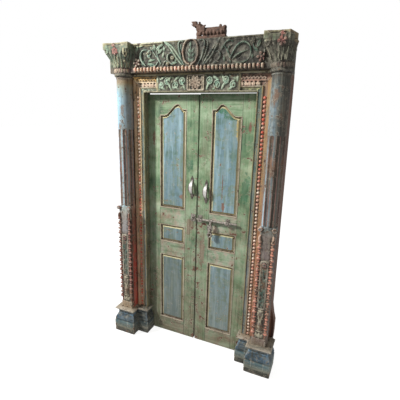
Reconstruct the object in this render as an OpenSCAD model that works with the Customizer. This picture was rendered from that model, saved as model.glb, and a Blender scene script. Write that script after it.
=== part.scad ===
// Carved and painted double door with its frame. Millimetres, +Z up, front faces -Y.
// Origin: on the floor, midway between the sides and midway between front and back.

/* [Opening] */
// Clear width between the jambs
opening_w = 814; // [760:2:900]
// Clear height under the head
opening_h = 1938; // [1700:2:2150]

/* [Frame] */
// Depth of the jambs, front to back
frame_d = 124; // [115:1:150]
// Face width of a jamb
jamb_w = 87; // [80:1:110]
// Height of the head that shows under the lintel
head_h = 126; // [110:1:150]
// Height of the carved lintel
lintel_h = 186; // [170:1:220]
// How far the lintel stands in front of the jambs
lintel_out = 47; // [30:1:60]
// Width of the side posts behind the columns
post_w = 112; // [95:1:130]

/* [Columns] */
// Radius of the column shafts
column_r = 57; // [48:1:66]
// Column axis in front of the jamb face
column_out = 18; // [10:1:25]
// Half width of the capitals
capital_half = 102; // [95:1:115]
// Half width of the plinths under the columns
plinth_half = 90; // [82:1:100]
// Height of the plinths
plinth_h = 226; // [200:1:280]

/* [Leaves] */
// Thickness of the leaves
leaf_t = 38; // [34:1:46]
// Gap between the two leaves
meeting_gap = 12; // [8:1:16]
// Width of the meeting stiles
meeting_stile_w = 90; // [75:1:105]
// Width of the hinge stiles that shows from the front
hinge_stile_w = 98; // [80:1:115]
// Height of the bottom rails
bottom_rail_h = 124; // [100:1:160]
// Height of the lower panel openings
lower_panel_h = 576; // [450:1:620]
// Height of the lock rail
lock_rail_h = 106; // [80:1:125]
// Height of the middle panel openings
middle_panel_h = 145; // [110:1:180]
// Height of the bolt rail
bolt_rail_h = 133; // [115:1:150]

/* [Ironwork] */
// Radius of the sliding bar
bar_r = 7; // [6:0.5:8]
// Throw of the sliding bar
bar_throw = 74; // [60:1:80]
// Radius of the leaf pivots
pivot_r = 8; // [6:0.5:9]
// Height of the pull handles
handle_h = 180; // [150:1:200]

/* [Hidden] */
$fn = 48;
E = 0.01;                                   // overshoot of a cut past a face
SLIP = 0.25;                                // clearance of fixed woodwork in its seat
RUN = 0.3;                                  // radial clearance of pivots and bar

// Depths, front to back
total_d = frame_d + column_out + capital_half;
y_back = total_d / 2;
y_jamb = y_back - frame_d;
y_col = y_jamb - column_out;
y_front = y_col - capital_half;
y_lintel = y_jamb - lintel_out;
leaf_recess = 60;                           // leaf face behind the jamb face
y_leaf = y_jamb + leaf_recess;
stop_gap = 3;                               // leaf face behind the stop of the rebate
y_stop = y_leaf - stop_gap;
y_post = y_jamb + 12;                       // front of the side posts, where the columns are flat

// Places across the width
x_open = opening_w / 2;
x_jamb = x_open + jamb_w;
column_gap = 2;
x_col = x_jamb + column_gap + column_r;
x_post = x_jamb + post_w;
pivot_x = x_open + 5;
rebate_clear = 4;
x_rebate = pivot_x + leaf_t / 2 + rebate_clear;
y_pivot = y_leaf + leaf_t / 2;

// Heights
z_head = opening_h;
z_lintel = z_head + head_h;
z_top = z_lintel + lintel_h;
dentil_h = 30;
astragal_h = 28;
z_capital = z_lintel - astragal_h;
floor_gap = 12;
top_gap = 8;
z_leaf = floor_gap;
leaf_top = opening_h - top_gap;
right_leaf_rise = 4;                        // the right leaf is that much taller
z_lower = z_leaf + bottom_rail_h;
z_lock = z_lower + lower_panel_h;
z_middle = z_lock + lock_rail_h;
z_bolt_rail = z_middle + middle_panel_h;
z_upper = z_bolt_rail + bolt_rail_h;
head_rebate = 4;                            // how far the rebate rises above the opening

// Panel openings of the right leaf, across
x_meet = meeting_gap / 2;
x_panel0 = x_meet + meeting_stile_w;
x_panel1 = x_open - hinge_stile_w;
groove_d = 10;
panel_t = 12;
y_panel = y_leaf + 12;                      // front of the panel tongue, bottom of the V groove
field_y = y_leaf + 2;
slope_w = 13;
bead_out = 3;                               // panel mouldings stand proud of the leaf
tenon_l = 30;
tenon_shoulder = 14;

// Arch of the upper panels: shoulders and crown below the leaf's top
arch_inner = 99;
arch_outer = 140;
arch_crown = 63;
crown_share = 0.32;                         // place of the crown across the opening
arch_flat_inner = 24;                       // level shoulders beside the crown
arch_flat_outer = 36;
arch_steps = 14;

// Plinths
plinth_shift = 8;
plinth_x0 = x_col + plinth_shift - plinth_half;
plinth_x1 = x_col + plinth_shift + plinth_half;
inner_plinth_in = 26;
inner_plinth_out = 41;
cap_z = plinth_h - 16;
band_z = 42;                                // groove under the band
ogee_z = 110;                               // groove under the ogee
ogee_in = 23;
ogee_h = cap_z - ogee_z - 30;

// Frame moulding: distances outward from the opening
cove = [4, 28];
bead_channel = [36, 64];
channel_d = 9;
cove_d = 6;
bead_r = 10;
bead_pitch = 26;

// Columns
flute_z0 = plinth_h + 874;
flute_z1 = plinth_h + 1454;
flute_count = 8;
flute_r = 26;
string_z0 = plinth_h + 99;
string_z1 = plinth_h + 736;
string_pitch = 79;
string_r = 14;
block_in = 11;
block_h = 854;
knob_z = plinth_h + 862;

// Bolt
z_bar = z_upper - 46;
bar_out = 20;
y_bar = y_leaf - bar_out;
bar_x0 = x_meet + 3;
eye_r = bar_r + 5;
eye_w = 12;
collar_w = 3;
collar_gap = 1;
hasp_w = 20;
staple_x = x_meet + 22;
boss_x = x_meet + 236;
hasp_x = staple_x + eye_w / 2 + bar_throw + collar_w + 2 * collar_gap + hasp_w / 2;
hasp_l = 104;
bar_l = boss_x + bar_throw - bar_x0;
hasp_t = 5;
hasp_hole_r = 8;
keeper_x = -x_meet - 22;
plate_t = 3;
plate_h = 54;

// Handles
handle_left = [43, z_upper + 182];         // place of each handle's middle
handle_right = [70, z_upper + 162];
grip_out = 34;
grip_t = 6;
grip_w = 34;

// Pivot ironwork
pin_seat = 40;
pin_reach = 24;
shoe_t = 9;
shoe_w = 66;

// Crest
crest_x = 90;
crest_l = 190;
crest_d = 52;
crest_h = 110.6;

// ---------------------------------------------------------------- helpers

// Right-hand pieces are drawn as they are, left-hand ones mirrored.
module on_side(side) {
    if (side > 0) children();
    else mirror([1, 0, 0]) children();
}

// A box from two corners.
module block(a, b) {
    translate(a) cube(b - a);
}

// Extrudes an outline drawn in X and Z from y0 back to y1.
module face_extrude(y0, y1) {
    translate([0, y1, 0]) rotate([90, 0, 0]) linear_extrude(y1 - y0) children();
}

// Extrudes an outline drawn in Y and Z from x0 to x1.
module side_extrude(x0, x1) {
    translate([x0, 0, 0]) rotate([90, 0, 90]) linear_extrude(x1 - x0) children();
}

module bar_along_x(x0, x1, r) {
    translate([x0, y_bar, z_bar]) rotate([0, 90, 0]) cylinder(r = r, h = x1 - x0);
}

// Skins two outlines with the same number of points, the first at y0 and the second at y1.
// The outlines run anticlockwise seen from the front, and y0 is behind y1.
module loft(outer, y0, inner, y1) {
    n = len(outer);
    polyhedron(
        points = concat([for (p = outer) [p[0], y0, p[1]]], [for (p = inner) [p[0], y1, p[1]]]),
        faces = concat([[for (i = [0 : n - 1]) i]], [[for (i = [n - 1 : -1 : 0]) n + i]],
            [for (i = [0 : n - 1]) [i, n + i, n + (i + 1) % n, (i + 1) % n]]));
}

function arc_points(cx, cy, r, a0, a1, n) =
    [for (i = [0 : n]) [cx + r * cos(a0 + (a1 - a0) * i / n), cy + r * sin(a0 + (a1 - a0) * i / n)]];

// ---------------------------------------------------------------- panel outlines

// Top of the leaf on a side.
function top_of(side) = leaf_top + (side > 0 ? right_leaf_rise : 0);

// Height of the arched head of the upper opening at x.
function ogee(t) = (1 - cos(180 * t)) / 2;
function arch_z(x) =
    let (a = x_panel0 + arch_flat_inner, b = x_panel1 - arch_flat_outer,
        c = x_panel0 + crown_share * (x_panel1 - x_panel0))
    x <= c
        ? leaf_top - arch_inner + (arch_inner - arch_crown) * ogee(max(0, (x - a) / (c - a)))
        : leaf_top - arch_outer + (arch_outer - arch_crown) * ogee(max(0, (b - x) / (b - c)));

function rect_outline(z0, z1, inset) =
    [[x_panel0 + inset, z0 + inset], [x_panel1 - inset, z0 + inset],
        [x_panel1 - inset, z1 - inset], [x_panel0 + inset, z1 - inset]];

function arch_outline(z0, inset) =
    let (a = x_panel0 + inset, b = x_panel1 - inset, n = 2 * arch_steps)
    concat([[a, z0 + inset], [b, z0 + inset]],
        [for (i = [0 : n]) let (x = b + (a - b) * i / n) [x, arch_z(x) - inset]]);

// Outline of an opening: 0 lower, 1 middle, 2 upper.
function opening(i, inset) =
    i == 0 ? rect_outline(z_lower, z_lock, inset)
    : i == 1 ? rect_outline(z_middle, z_bolt_rail, inset)
    : arch_outline(z_upper, inset);

// Rails as [bottom, top]: bottom, lock, bolt, top.
top_tenon_z0 = leaf_top - arch_crown + 8;
function rail(i) =
    i == 0 ? [z_leaf, z_lower] : i == 1 ? [z_lock, z_middle]
    : i == 2 ? [z_bolt_rail, z_upper] : [leaf_top - arch_outer, leaf_top];
function tenon(i) =
    i == 3 ? [top_tenon_z0, leaf_top - 10]
    : [rail(i)[0] + tenon_shoulder, rail(i)[1] - tenon_shoulder];

// ---------------------------------------------------------------- leaves

// The grooves that hold the panels.
module panel_grooves() {
    for (i = [0 : 2])
        face_extrude(y_panel - SLIP, y_panel + panel_t + SLIP)
            polygon(opening(i, -groove_d - SLIP));
}

module mortises() {
    for (i = [0 : 3])
        block([x_panel0 - tenon_l - SLIP, y_panel, tenon(i)[0] - SLIP],
            [x_panel1 + tenon_l + SLIP, y_panel + panel_t, tenon(i)[1] + SLIP]);
}

module hinge_stile(side) {
    color("darkseagreen") on_side(side) difference() {
        union() {
            block([x_panel1, y_leaf, z_leaf], [pivot_x, y_leaf + leaf_t, top_of(side)]);
            translate([pivot_x, y_pivot, z_leaf]) cylinder(r = leaf_t / 2, h = top_of(side) - z_leaf);
        }
        panel_grooves();
        mortises();
        pivot_holes(side);
    }
}

module meeting_stile(side) {
    color("darkseagreen") on_side(side) difference() {
        block([x_meet, y_leaf, z_leaf], [x_panel0, y_leaf + leaf_t, top_of(side)]);
        panel_grooves();
        mortises();
    }
}

// Rail i with a tenon at each end; the top rail is cut to the arch.
module leaf_rail(side, i) {
    color("darkseagreen") on_side(side) {
        difference() {
            block([x_panel0, y_leaf, rail(i)[0]],
                [x_panel1, y_leaf + leaf_t, i == 3 ? top_of(side) : rail(i)[1]]);
            panel_grooves();
            if (i == 3) face_extrude(y_leaf - 1, y_leaf + leaf_t + 1) polygon(arch_outline(z_upper, 0));
        }
        for (x = [x_panel0 - tenon_l, x_panel1])
            block([x, y_panel + SLIP, tenon(i)[0]],
                [x + tenon_l, y_panel + panel_t - SLIP, tenon(i)[1]]);
    }
}

// A raised and fielded panel: a tongue in the grooves and a bevelled field in front.
module panel(side, i) {
    color("cadetblue") on_side(side) {
        face_extrude(y_panel, y_panel + panel_t) polygon(opening(i, SLIP - groove_d));
        loft(opening(i, slope_w + 1), y_panel + 1, opening(i, 2 * slope_w), field_y);
    }
}

// The moulding round a panel, sloping from the leaf's face down to the tongue.
module panel_moulding(side, i) {
    color("palegoldenrod") on_side(side) difference() {
        face_extrude(y_leaf - bead_out, y_panel) polygon(opening(i, SLIP));
        loft(opening(i, slope_w), y_panel + 1, opening(i, 4), y_leaf - bead_out - 1);
    }
}

module pivot_holes(side) {
    for (z = [z_leaf - E, top_of(side) - pin_seat])
        translate([pivot_x, y_pivot, z]) cylinder(r = pivot_r, h = pin_seat + E);
}

// Iron pins driven into the hinge stile, turning in the head and in the floor shoe.
module pivots(side) {
    color("dimgray") on_side(side) {
        translate([pivot_x, y_pivot, 1]) cylinder(r = pivot_r, h = z_leaf + pin_seat - 1);
        translate([pivot_x, y_pivot, top_of(side) - pin_seat])
            cylinder(r = pivot_r,
                h = leaf_top - top_of(side) + pin_seat + top_gap + head_rebate + pin_reach - 2);
    }
}

// Iron plate on the floor under the back of the jamb, with the hole for the lower pivot.
module floor_shoe(side) {
    color("dimgray") on_side(side) difference() {
        block([pivot_x - shoe_w / 4, y_stop + 1, 0], [x_rebate, y_back, shoe_t]);
        translate([pivot_x, y_pivot, -1]) cylinder(r = pivot_r + RUN, h = shoe_t + 2);
    }
}

// ---------------------------------------------------------------- ironwork

// Outline of a leaf-shaped nailing plate, w wide and l long, pointing up from the origin.
module leaf_plate(w, l) {
    steps = 12;
    polygon(concat([for (i = [0 : steps]) [w / 2 * sin(180 * sqrt(i / steps)), l * i / steps]],
        [for (i = [steps - 1 : -1 : 1]) [-w / 2 * sin(180 * sqrt(i / steps)), l * i / steps]]));
}

// Half width of the grip at step i of ten from its middle.
function grip_half(i) = 7 + (grip_w / 2 - 7) * cos(9 * i);

// A bowed grip, widest in the middle, forged with a leaf-shaped plate at each end.
module handle(side) {
    handle_x = (side > 0 ? handle_right : handle_left)[0];
    handle_z = (side > 0 ? handle_right : handle_left)[1];
    span = handle_h - 76;
    bow_r = (span * span / 4 + grip_out * grip_out) / (2 * grip_out);
    color("silver") on_side(side) {
        intersection() {
            translate([handle_x - grip_w, y_leaf - grip_out + bow_r, handle_z])
                rotate([0, 90, 0]) difference() {
                    cylinder(r = bow_r, h = 2 * grip_w, $fn = 96);
                    translate([0, 0, -1]) cylinder(r = bow_r - grip_t, h = 2 * grip_w + 2, $fn = 96);
                }
            translate([handle_x, 0, handle_z]) face_extrude(y_leaf - grip_out - 1, y_leaf)
                polygon(concat([for (i = [-10 : 10]) [grip_half(i), span / 20 * i]],
                    [for (i = [10 : -1 : -10]) [-grip_half(i), span / 20 * i]]));
        }
        for (turn = [0, 180])
            translate([handle_x, 0, handle_z]) rotate([0, turn, 0]) translate([0, 0, span / 2 - 8])
                face_extrude(y_leaf - plate_t, y_leaf) leaf_plate(26, handle_h / 2 - span / 2 + 8);
    }
}

// An eye for the bar on a nailing plate, from x - w / 2 to x + w / 2.
module bar_eye(x, w, r, plate_w) {
    difference() {
        union() {
            bar_along_x(x - w / 2, x + w / 2, r);
            block([x - w / 2, y_bar, z_bar - bar_r], [x + w / 2, y_leaf, z_bar + bar_r]);
            block([x - plate_w / 2, y_leaf - plate_t, z_bar - plate_h / 2],
                [x + plate_w / 2, y_leaf, z_bar + plate_h / 2]);
        }
        bar_along_x(x - w, x + w, bar_r + RUN);
    }
}

module bolt_keeper() {
    color("silver") bar_eye(keeper_x, eye_w, eye_r, 36);
}

module bolt_staple() {
    color("silver") bar_eye(staple_x, eye_w, eye_r, 34);
}

module bolt_boss() {
    rim = eye_r + 6;
    color("gray") {
        translate([boss_x, y_bar, z_bar]) rotate([0, 90, 0]) rotate_extrude()
            polygon(concat([[bar_r + RUN, -15], [rim - 5, -15]],
                arc_points(rim - 5, 0, 6, -70, 70, 6), [[rim - 5, 15], [bar_r + RUN, 15]]));
        block([boss_x - 12, y_bar + bar_r + 2, z_bar - 9], [boss_x + 12, y_leaf - plate_t + 1, z_bar + 9]);
        block([boss_x - 15, y_leaf - plate_t, z_bar - plate_h / 2],
            [boss_x + 15, y_leaf, z_bar + plate_h / 2]);
    }
}

module bolt_bar() {
    color("silver") {
        bar_along_x(bar_x0, bar_x0 + bar_l, bar_r);
        for (x = [hasp_x - hasp_w / 2 - collar_gap - collar_w, hasp_x + hasp_w / 2 + collar_gap])
            bar_along_x(x, x + collar_w, bar_r + 3);
    }
}

// The hasp turns on the bar and hangs from it; a padlock goes through its hole.
module hasp() {
    color("silver") difference() {
        union() {
            bar_along_x(hasp_x - hasp_w / 2, hasp_x + hasp_w / 2, eye_r);
            face_extrude(y_bar - eye_r, y_bar - eye_r + hasp_t) {
                polygon([[hasp_x - hasp_w / 2, z_bar], [hasp_x + hasp_w / 2, z_bar],
                    [hasp_x + hasp_w / 3, z_bar - hasp_l / 2], [hasp_x + hasp_w / 3, z_bar - hasp_l],
                    [hasp_x - hasp_w / 2, z_bar - hasp_l], [hasp_x - hasp_w / 2, z_bar - hasp_l / 2]]);
                translate([hasp_x - 4, z_bar - hasp_l]) circle(r = hasp_hole_r + 8);
            }
        }
        bar_along_x(hasp_x - hasp_w, hasp_x + hasp_w, bar_r + RUN);
        translate([hasp_x - 4, y_bar, z_bar - hasp_l]) rotate([90, 0, 0])
            cylinder(r = hasp_hole_r, h = 60, center = true);
    }
}

// ---------------------------------------------------------------- frame

// Section of the frame moulding: u outward from the opening, v back from the face.
module frame_section(width) {
    polygon([[0, 0], [cove[0], 0], [cove[0], cove_d], [cove[1], cove_d], [cove[1], 0],
        [bead_channel[0], 0], [bead_channel[0], channel_d], [bead_channel[1], channel_d],
        [bead_channel[1], 0], [width, 0], [width, frame_d], [x_rebate - x_open, frame_d],
        [x_rebate - x_open, y_stop - y_jamb], [0, y_stop - y_jamb]]);
}

bead_u = (bead_channel[0] + bead_channel[1]) / 2;
bead_count = floor((opening_h - plinth_h) / bead_pitch);

module jamb(side) {
    color("rosybrown") on_side(side) {
        difference() {
            intersection() {
                translate([x_open, y_jamb, 0]) linear_extrude(z_lintel) frame_section(jamb_w);
                face_extrude(y_jamb - 1, y_back + 1)
                    polygon([[x_open, -1], [x_jamb, -1], [x_jamb, z_head + jamb_w], [x_open, z_head]]);
            }
            block([x_open - 1, y_jamb - 1, -1], [x_jamb + 1, y_stop, plinth_h]);
            block([x_open - 1, y_stop - 1, -1], [x_rebate + 1, y_back + 1, shoe_t]);
        }
        for (i = [0 : bead_count - 1])
            translate([x_open + bead_u, y_jamb + channel_d, plinth_h + bead_pitch * (i + 0.5)])
                sphere(r = bead_r);
    }
}

// The head: moulded like the jambs at its ends, with a carved board in the middle.
board_half = 292;
board_out = 8;
tooth_pitch = 26;
module head() {
    color("tan") difference() {
        union() {
            intersection() {
                side_extrude(-x_jamb, x_jamb) translate([y_jamb, z_head]) head_section();
                face_extrude(y_jamb - 1, y_back + 1)
                    polygon([[-x_open, z_head], [x_open, z_head], [x_jamb, z_head + jamb_w],
                        [x_jamb, z_lintel], [-x_jamb, z_lintel], [-x_jamb, z_head + jamb_w]]);
            }
            block([-board_half, y_jamb - board_out, z_head + 5],
                [board_half, y_jamb + channel_d, z_lintel - 14]);
            for (side = [-1, 1], i = [0 : 4])
                block([side * (board_half + 14 + tooth_pitch * i) - 7, y_jamb, z_head + bead_channel[0]],
                    [side * (board_half + 14 + tooth_pitch * i) + 7, y_jamb + channel_d + 1,
                        z_head + bead_channel[1]]);
        }
        for (side = [-1, 1])
            translate([side * pivot_x, y_pivot, z_head + head_rebate - 1])
                cylinder(r = pivot_r + RUN, h = pin_reach + 1);
    }
    color("seagreen") face_extrude(y_jamb - board_out - 8, y_jamb - board_out) board_relief();
}

// Section of the head: the frame moulding laid on its side, with a low rebate behind.
module head_section() {
    polygon([[0, 0], [0, cove[0]], [cove_d, cove[0]], [cove_d, cove[1]], [0, cove[1]],
        [0, bead_channel[0]], [channel_d, bead_channel[0]], [channel_d, bead_channel[1]],
        [0, bead_channel[1]], [0, head_h], [frame_d, head_h], [frame_d, head_rebate],
        [y_stop - y_jamb, head_rebate], [y_stop - y_jamb, 0]]);
}

// ---------------------------------------------------------------- carving outlines

module ring(r, w) {
    difference() {
        circle(r = r);
        circle(r = r - w);
    }
}

// A pointed leaf from the origin along +Y, l long and w wide, swept sideways by bend.
module carved_leaf(l, w, bend) {
    n = 10;
    side_pts = [for (i = [0 : n]) let (t = i / n)
        [bend * t * t + w / 2 * sin(180 * t), l * t]];
    back_pts = [for (i = [n - 1 : -1 : 1]) let (t = i / n)
        [bend * t * t - w / 2 * sin(180 * t), l * t]];
    polygon(concat(side_pts, back_pts));
}

module rosette(r, petals) {
    for (i = [0 : petals - 1]) rotate(360 * i / petals) translate([r * 0.6, 0]) circle(r = r * 0.36);
    circle(r = r * 0.4);
}

// A scroll: a ring with a leaf curling into it and one trailing from it.
module scroll(r) {
    ring(r, r * 0.24);
    rotate(40) translate([0, -r * 0.7]) carved_leaf(r * 1.3, r * 0.55, r * 0.3);
}

module board_relief() {
    zc = z_head + 5 + (head_h - 19) / 2;
    translate([0, zc]) {
        difference() {
            square([118, 100], center = true);
            square([96, 80], center = true);
        }
        rosette(40, 8);
        for (side = [-1, 1]) {
            translate([side * 118, 0]) scroll(42);
            translate([side * 205, 0]) scroll(40);
            translate([side * 268, -44]) carved_leaf(88, 34, -side * 16);
        }
    }
}

// The frieze: a pointed oval left of the middle, tall leaves beside it, scrolls and rosettes.
oval_x = -20;
frieze_mid = z_lintel + dentil_h + (lintel_h - dentil_h) / 2;
module frieze_relief() {
    translate([oval_x, frieze_mid]) {
        difference() {
            polygon([for (a = [0 : 9 : 351]) [58 * cos(a), 74 * sin(a)]]);
            polygon([for (a = [0 : 9 : 351]) [49 * cos(a), 65 * sin(a)]]);
        }
        for (a = [-50, 0, 50]) rotate(a) translate([0, -38]) carved_leaf(84, 22, 0);
        for (side = [-1, 1]) {
            translate([side * 66, -72]) rotate(-side * 30) carved_leaf(160, 44, side * 10);
            translate([side * 84, 44]) scroll(26);
            translate([side * 150, -30]) scroll(34);
            translate([side * 240, -66]) rotate(-side * 12) carved_leaf(120, 40, -side * 20);
            translate([side * 300, 6]) scroll(58);
            translate([side * 388, -40]) rosette(30, 5);
        }
    }
}

module lintel() {
    half = x_col - capital_half;
    flutes = floor(2 * half / tooth_pitch);
    color("darkseagreen") {
        block([-half, y_lintel, z_lintel], [half, y_back - 40, z_top]);
        block([-half, y_lintel - 8, z_top - 18], [half, y_lintel, z_top]);
    }
    color("rosybrown") for (i = [0 : flutes - 1])
        translate([(i + 0.5 - flutes / 2) * tooth_pitch, y_lintel, z_lintel])
            cylinder(r = 9, h = dentil_h, $fn = 24);
    color("seagreen") intersection() {
        face_extrude(y_lintel - 14, y_lintel) frieze_relief();
        block([-half, y_lintel - 20, z_lintel + dentil_h], [half, y_lintel, z_top]);
    }
}

// ---------------------------------------------------------------- columns

// Outline of the round shaft: radius and height above the plinth.
module column_outline() {
    h = z_capital - plinth_h;
    polygon([[0, 0], [column_r - 2, 0], [column_r - 2, block_h - 20], [column_r, block_h],
        [column_r, h - 12], [column_r + 3, h - 8], [column_r + 3, h], [0, h]]);
}

// The lower part is square, with the bud strings on its front corners.
module square_foot() {
    half = column_r - block_in;
    block([-half, -column_r, 0], [half, y_post - y_col, block_h]);
    block([-half - 4, -column_r - 4, 0], [half + 4, y_post - y_col, 54]);
}

module column(side) {
    color("steelblue") on_side(side) translate([x_col, y_col, 0]) difference() {
        union() {
            translate([0, 0, plinth_h]) {
                rotate_extrude() column_outline();
                square_foot();
            }
            for (side = [-1, 1]) bead_string(side);
            flower_panel();
        }
        for (i = [0 : flute_count - 1]) rotate(45 * i + 22.5)
            translate([0, -column_r - flute_r + 7, flute_z0])
                cylinder(r = flute_r, h = flute_z1 - flute_z0, $fn = 32);
        block([-2 * column_r, y_post - y_col, 0], [2 * column_r, 2 * column_r, z_top]);
        block([-2 * column_r, y_jamb - y_col, 0], [x_jamb - x_col, 2 * column_r, z_top]);
    }
}

// A string of carved buds hanging from a knob, down the left or right front corner.
module bead_string(side) {
    translate([side * (column_r - block_in - 2), 6 - column_r, 0]) {
        for (z = [string_z0 : string_pitch : string_z1]) {
            translate([0, 0, z]) sphere(r = string_r);
            translate([0, 0, z + string_pitch / 2]) sphere(r = string_r - 4);
        }
        translate([0, 0, knob_z]) sphere(r = string_r + 1);
        translate([0, 0, knob_z - 92]) cylinder(r1 = string_r + 1, r2 = 10, h = 46, $fn = 24);
    }
}

// A raised panel on the front of the shaft with a flower stem over a vase.
module flower_panel() {
    panel_z = plinth_h + 290;
    panel_h = 350;
    translate([0, 0, panel_z]) difference() {
        block([-21, -column_r - 5, 0], [21, 0, panel_h]);
        block([-15, -column_r - 6, 6], [15, -column_r + 1, panel_h - 24]);
        translate([0, -column_r + 1, panel_h - 24]) rotate([90, 0, 0]) cylinder(r = 15, h = 10);
    }
    for (i = [0 : 5]) translate([8 * pow(-1, i), -column_r, panel_z + 40 + 48 * i]) sphere(r = 9);
    translate([0, -column_r + 6, plinth_h + 114]) {
        cylinder(r1 = 10, r2 = 20, h = 60, $fn = 24);
        translate([0, 0, 60]) cylinder(r1 = 20, r2 = 8, h = 40, $fn = 24);
        translate([0, 0, 100]) cylinder(r1 = 8, r2 = 17, h = 50, $fn = 24);
    }
}

// ---------------------------------------------------------------- capitals

bell_z = z_lintel + dentil_h;
abacus_h = 42;
break_x = capital_half - 50;
neck_r = column_r + 5;
hollow_d = 14;
module capital(side) {
    color("darkseagreen") on_side(side) difference() {
        union() {
            translate([x_col, y_col, 0]) {
                translate([0, 0, z_capital]) rotate_extrude() capital_outline();
                neck_flutes();
                difference() {
                    abacus();
                    if (side > 0) broken_corner();
                }
                corner_volutes(side);
                bell_leaves(side);
                flowers(side);
            }
            block([x_col - capital_half, y_lintel + 1, z_lintel],
                [side > 0 ? x_col + break_x : x_col + capital_half, y_back, z_top]);
            block([x_jamb, y_col, z_capital], [x_post, y_back, z_lintel]);
        }
        block([x_open, y_jamb, z_capital - 1], [x_jamb, y_back, z_lintel]);
    }
}

// Radius and height of the astragal, neck and bell, above the capital's foot.
module capital_outline() {
    bell_h = z_top - abacus_h - bell_z;
    neck = bell_z - z_capital;
    polygon(concat([[0, 0], [column_r + 3, 0]],
        arc_points(column_r + 3, astragal_h / 2, astragal_h / 2 - 3, -90, 90, 8),
        [[neck_r, astragal_h]],
        [for (i = [0 : 8]) let (t = i / 8)
            [neck_r + (capital_half - hollow_d - 8 - neck_r) * t * t, neck + bell_h * t]],
        [[0, neck + bell_h]]));
}

module neck_flutes() {
    count = 20;
    for (i = [0 : count - 1]) rotate(360 / count * i)
        translate([0, -neck_r, z_lintel + 1]) cylinder(r = 7, h = dentil_h - 4, $fn = 16);
}

// Square top with hollowed sides.
module abacus() {
    hollow_r = 190;
    translate([0, 0, z_top - abacus_h]) difference() {
        block([-capital_half, -capital_half, 0], [capital_half, capital_half, abacus_h]);
        for (a = [0, 90, -90]) rotate(a) translate([0, -capital_half - hollow_r + hollow_d, -1])
            cylinder(r = hollow_r, h = abacus_h + 2, $fn = 96);
    }
}

module corner_volutes(side) {
    for (a = side > 0 ? [-45] : [-45, 45, 135]) rotate(a)
        translate([0, 38 - sqrt(2) * capital_half, z_top - abacus_h - 2]) rotate([0, 90, 0])
            cylinder(r = 26, h = 22, center = true);
}

module bell_leaves(side) {
    for (a = [-67.5 : 22.5 : side > 0 ? 22.5 : 67.5]) rotate(a) translate([0, -neck_r - 2, bell_z + 3])
        rotate([12, 0, 0]) cylinder(r1 = 11, r2 = 6, h = 84, $fn = 16);
}

module flowers(side) {
    for (a = side > 0 ? [0] : [0, 90]) rotate(a)
        translate([0, hollow_d + 8 - capital_half, z_top - abacus_h - 12]) rotate([90, 0, 0])
            linear_extrude(14) rosette(30, 6);
}

// The outer front corner of the right-hand capital is lost.
module broken_corner() {
    translate([0, 0, z_top - abacus_h - 2]) linear_extrude(abacus_h + 4)
        polygon([[break_x - 16, -capital_half - 20], [break_x + 20, 14], [break_x, 52],
            [break_x, total_d], [total_d, total_d], [total_d, -capital_half - 20]]);
}

// ---------------------------------------------------------------- posts and plinths

// Post behind a column, notched over the plinth. The right one swells at its foot.
module side_post(side) {
    swell = 26;
    color("saddlebrown") on_side(side) difference() {
        union() {
            block([x_jamb, y_post, 0], [x_post, y_back, z_capital]);
            if (side > 0) face_extrude(y_stop + 5, y_back) polygon([[x_post - 1, 0],
                [x_post + swell / 2, 0], [x_post + swell, plinth_h + 20], [x_post + swell, plinth_h + 120],
                [x_post + swell / 2, plinth_h + 170], [x_post - 1, plinth_h + 250]]);
        }
        block([x_jamb - 1, y_post - 1, -1], [x_post + 1, y_stop, plinth_h]);
    }
}

// Half of the plinth's side profile: how far each height stands out from the block. A rounded foot, a
// band, a long ogee that draws in to the neck, and a thin cap.
function plinth_profile() = concat(
    arc_points(-10, 14, 14, -90, 0, 4),
    [[4, band_z - 4], [1, band_z - 2], [1, band_z + 2], [5, band_z + 4],
        [5, ogee_z - 4], [0, ogee_z - 2], [0, ogee_z + 2]],
    [for (i = [0 : 8]) [ogee_in * (cos(22.5 * i) - 1) / 2 + 3, ogee_z + 4 + ogee_h * i / 8]],
    arc_points(2, ogee_z + ogee_h + 8, ogee_in - 4, 180, 100, 4),
    [[3, cap_z], [1, cap_z + 6], [-30, plinth_h]]);

// A moulded block: profile on both sides and the front, flat at the back.
module plinth_block(x0, x1, y0) {
    p = plinth_profile();
    n = len(p);
    intersection() {
        face_extrude(y0 - 20, y_stop) polygon(concat([for (i = [0 : n - 1]) [x1 + p[i][0], p[i][1]]],
            [for (i = [n - 1 : -1 : 0]) [x0 - p[i][0], p[i][1]]]));
        side_extrude(x0 - 20, x1 + 20) polygon(concat([[y_stop, 0]],
            [for (i = [0 : n - 1]) [y0 - p[i][0], p[i][1]]], [[y_stop, plinth_h]]));
    }
}

module plinth(side) {
    color("steelblue") on_side(side) {
        plinth_block(plinth_x0, plinth_x1, y_col - plinth_half);
        plinth_block(x_open - inner_plinth_in, plinth_x0 + 30, y_jamb - inner_plinth_out);
        block([x_open, y_jamb, 2], [x_post, y_stop, plinth_h]);
    }
}

// ---------------------------------------------------------------- crest

// A small resting animal, worn smooth, on a beaded bar, with a blunt horn over its head.
module crest() {
    yc = y_jamb + 2;
    color("sienna") translate([crest_x, yc, z_top]) {
        block([-crest_l / 2 + 7, -crest_d / 2, 0], [crest_l / 2 + 9, crest_d / 2, 20]);
        for (i = [0 : 6]) translate([23.5 * i - 62, 6 - crest_d / 2, 36]) worn_ball(12);
        block([-50, -20, 12], [crest_l / 2 + 2, 20, 48]);
        translate([-50, 0, 46]) rotate([0, 90, 0]) cylinder(r = crest_d / 2, h = crest_l / 2 + 51, $fn = 24);
        translate([-78, -4, 36]) worn_ball(20);
        translate([-72, -4, 68]) worn_ball(28);
        face_extrude(-14, 10) polygon([[-131, crest_h], [-95, crest_h], [-92, 88], [-80, 74],
            [-104, 72], [-116, 88]]);
        translate([-76, -6, 100]) worn_ball(8);
        translate([62, 0, 76]) worn_ball(10);
        translate([90, 0, 65]) worn_ball(14);
    }
}

module worn_ball(r) {
    sphere(r = r, $fn = 12);
}

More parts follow.
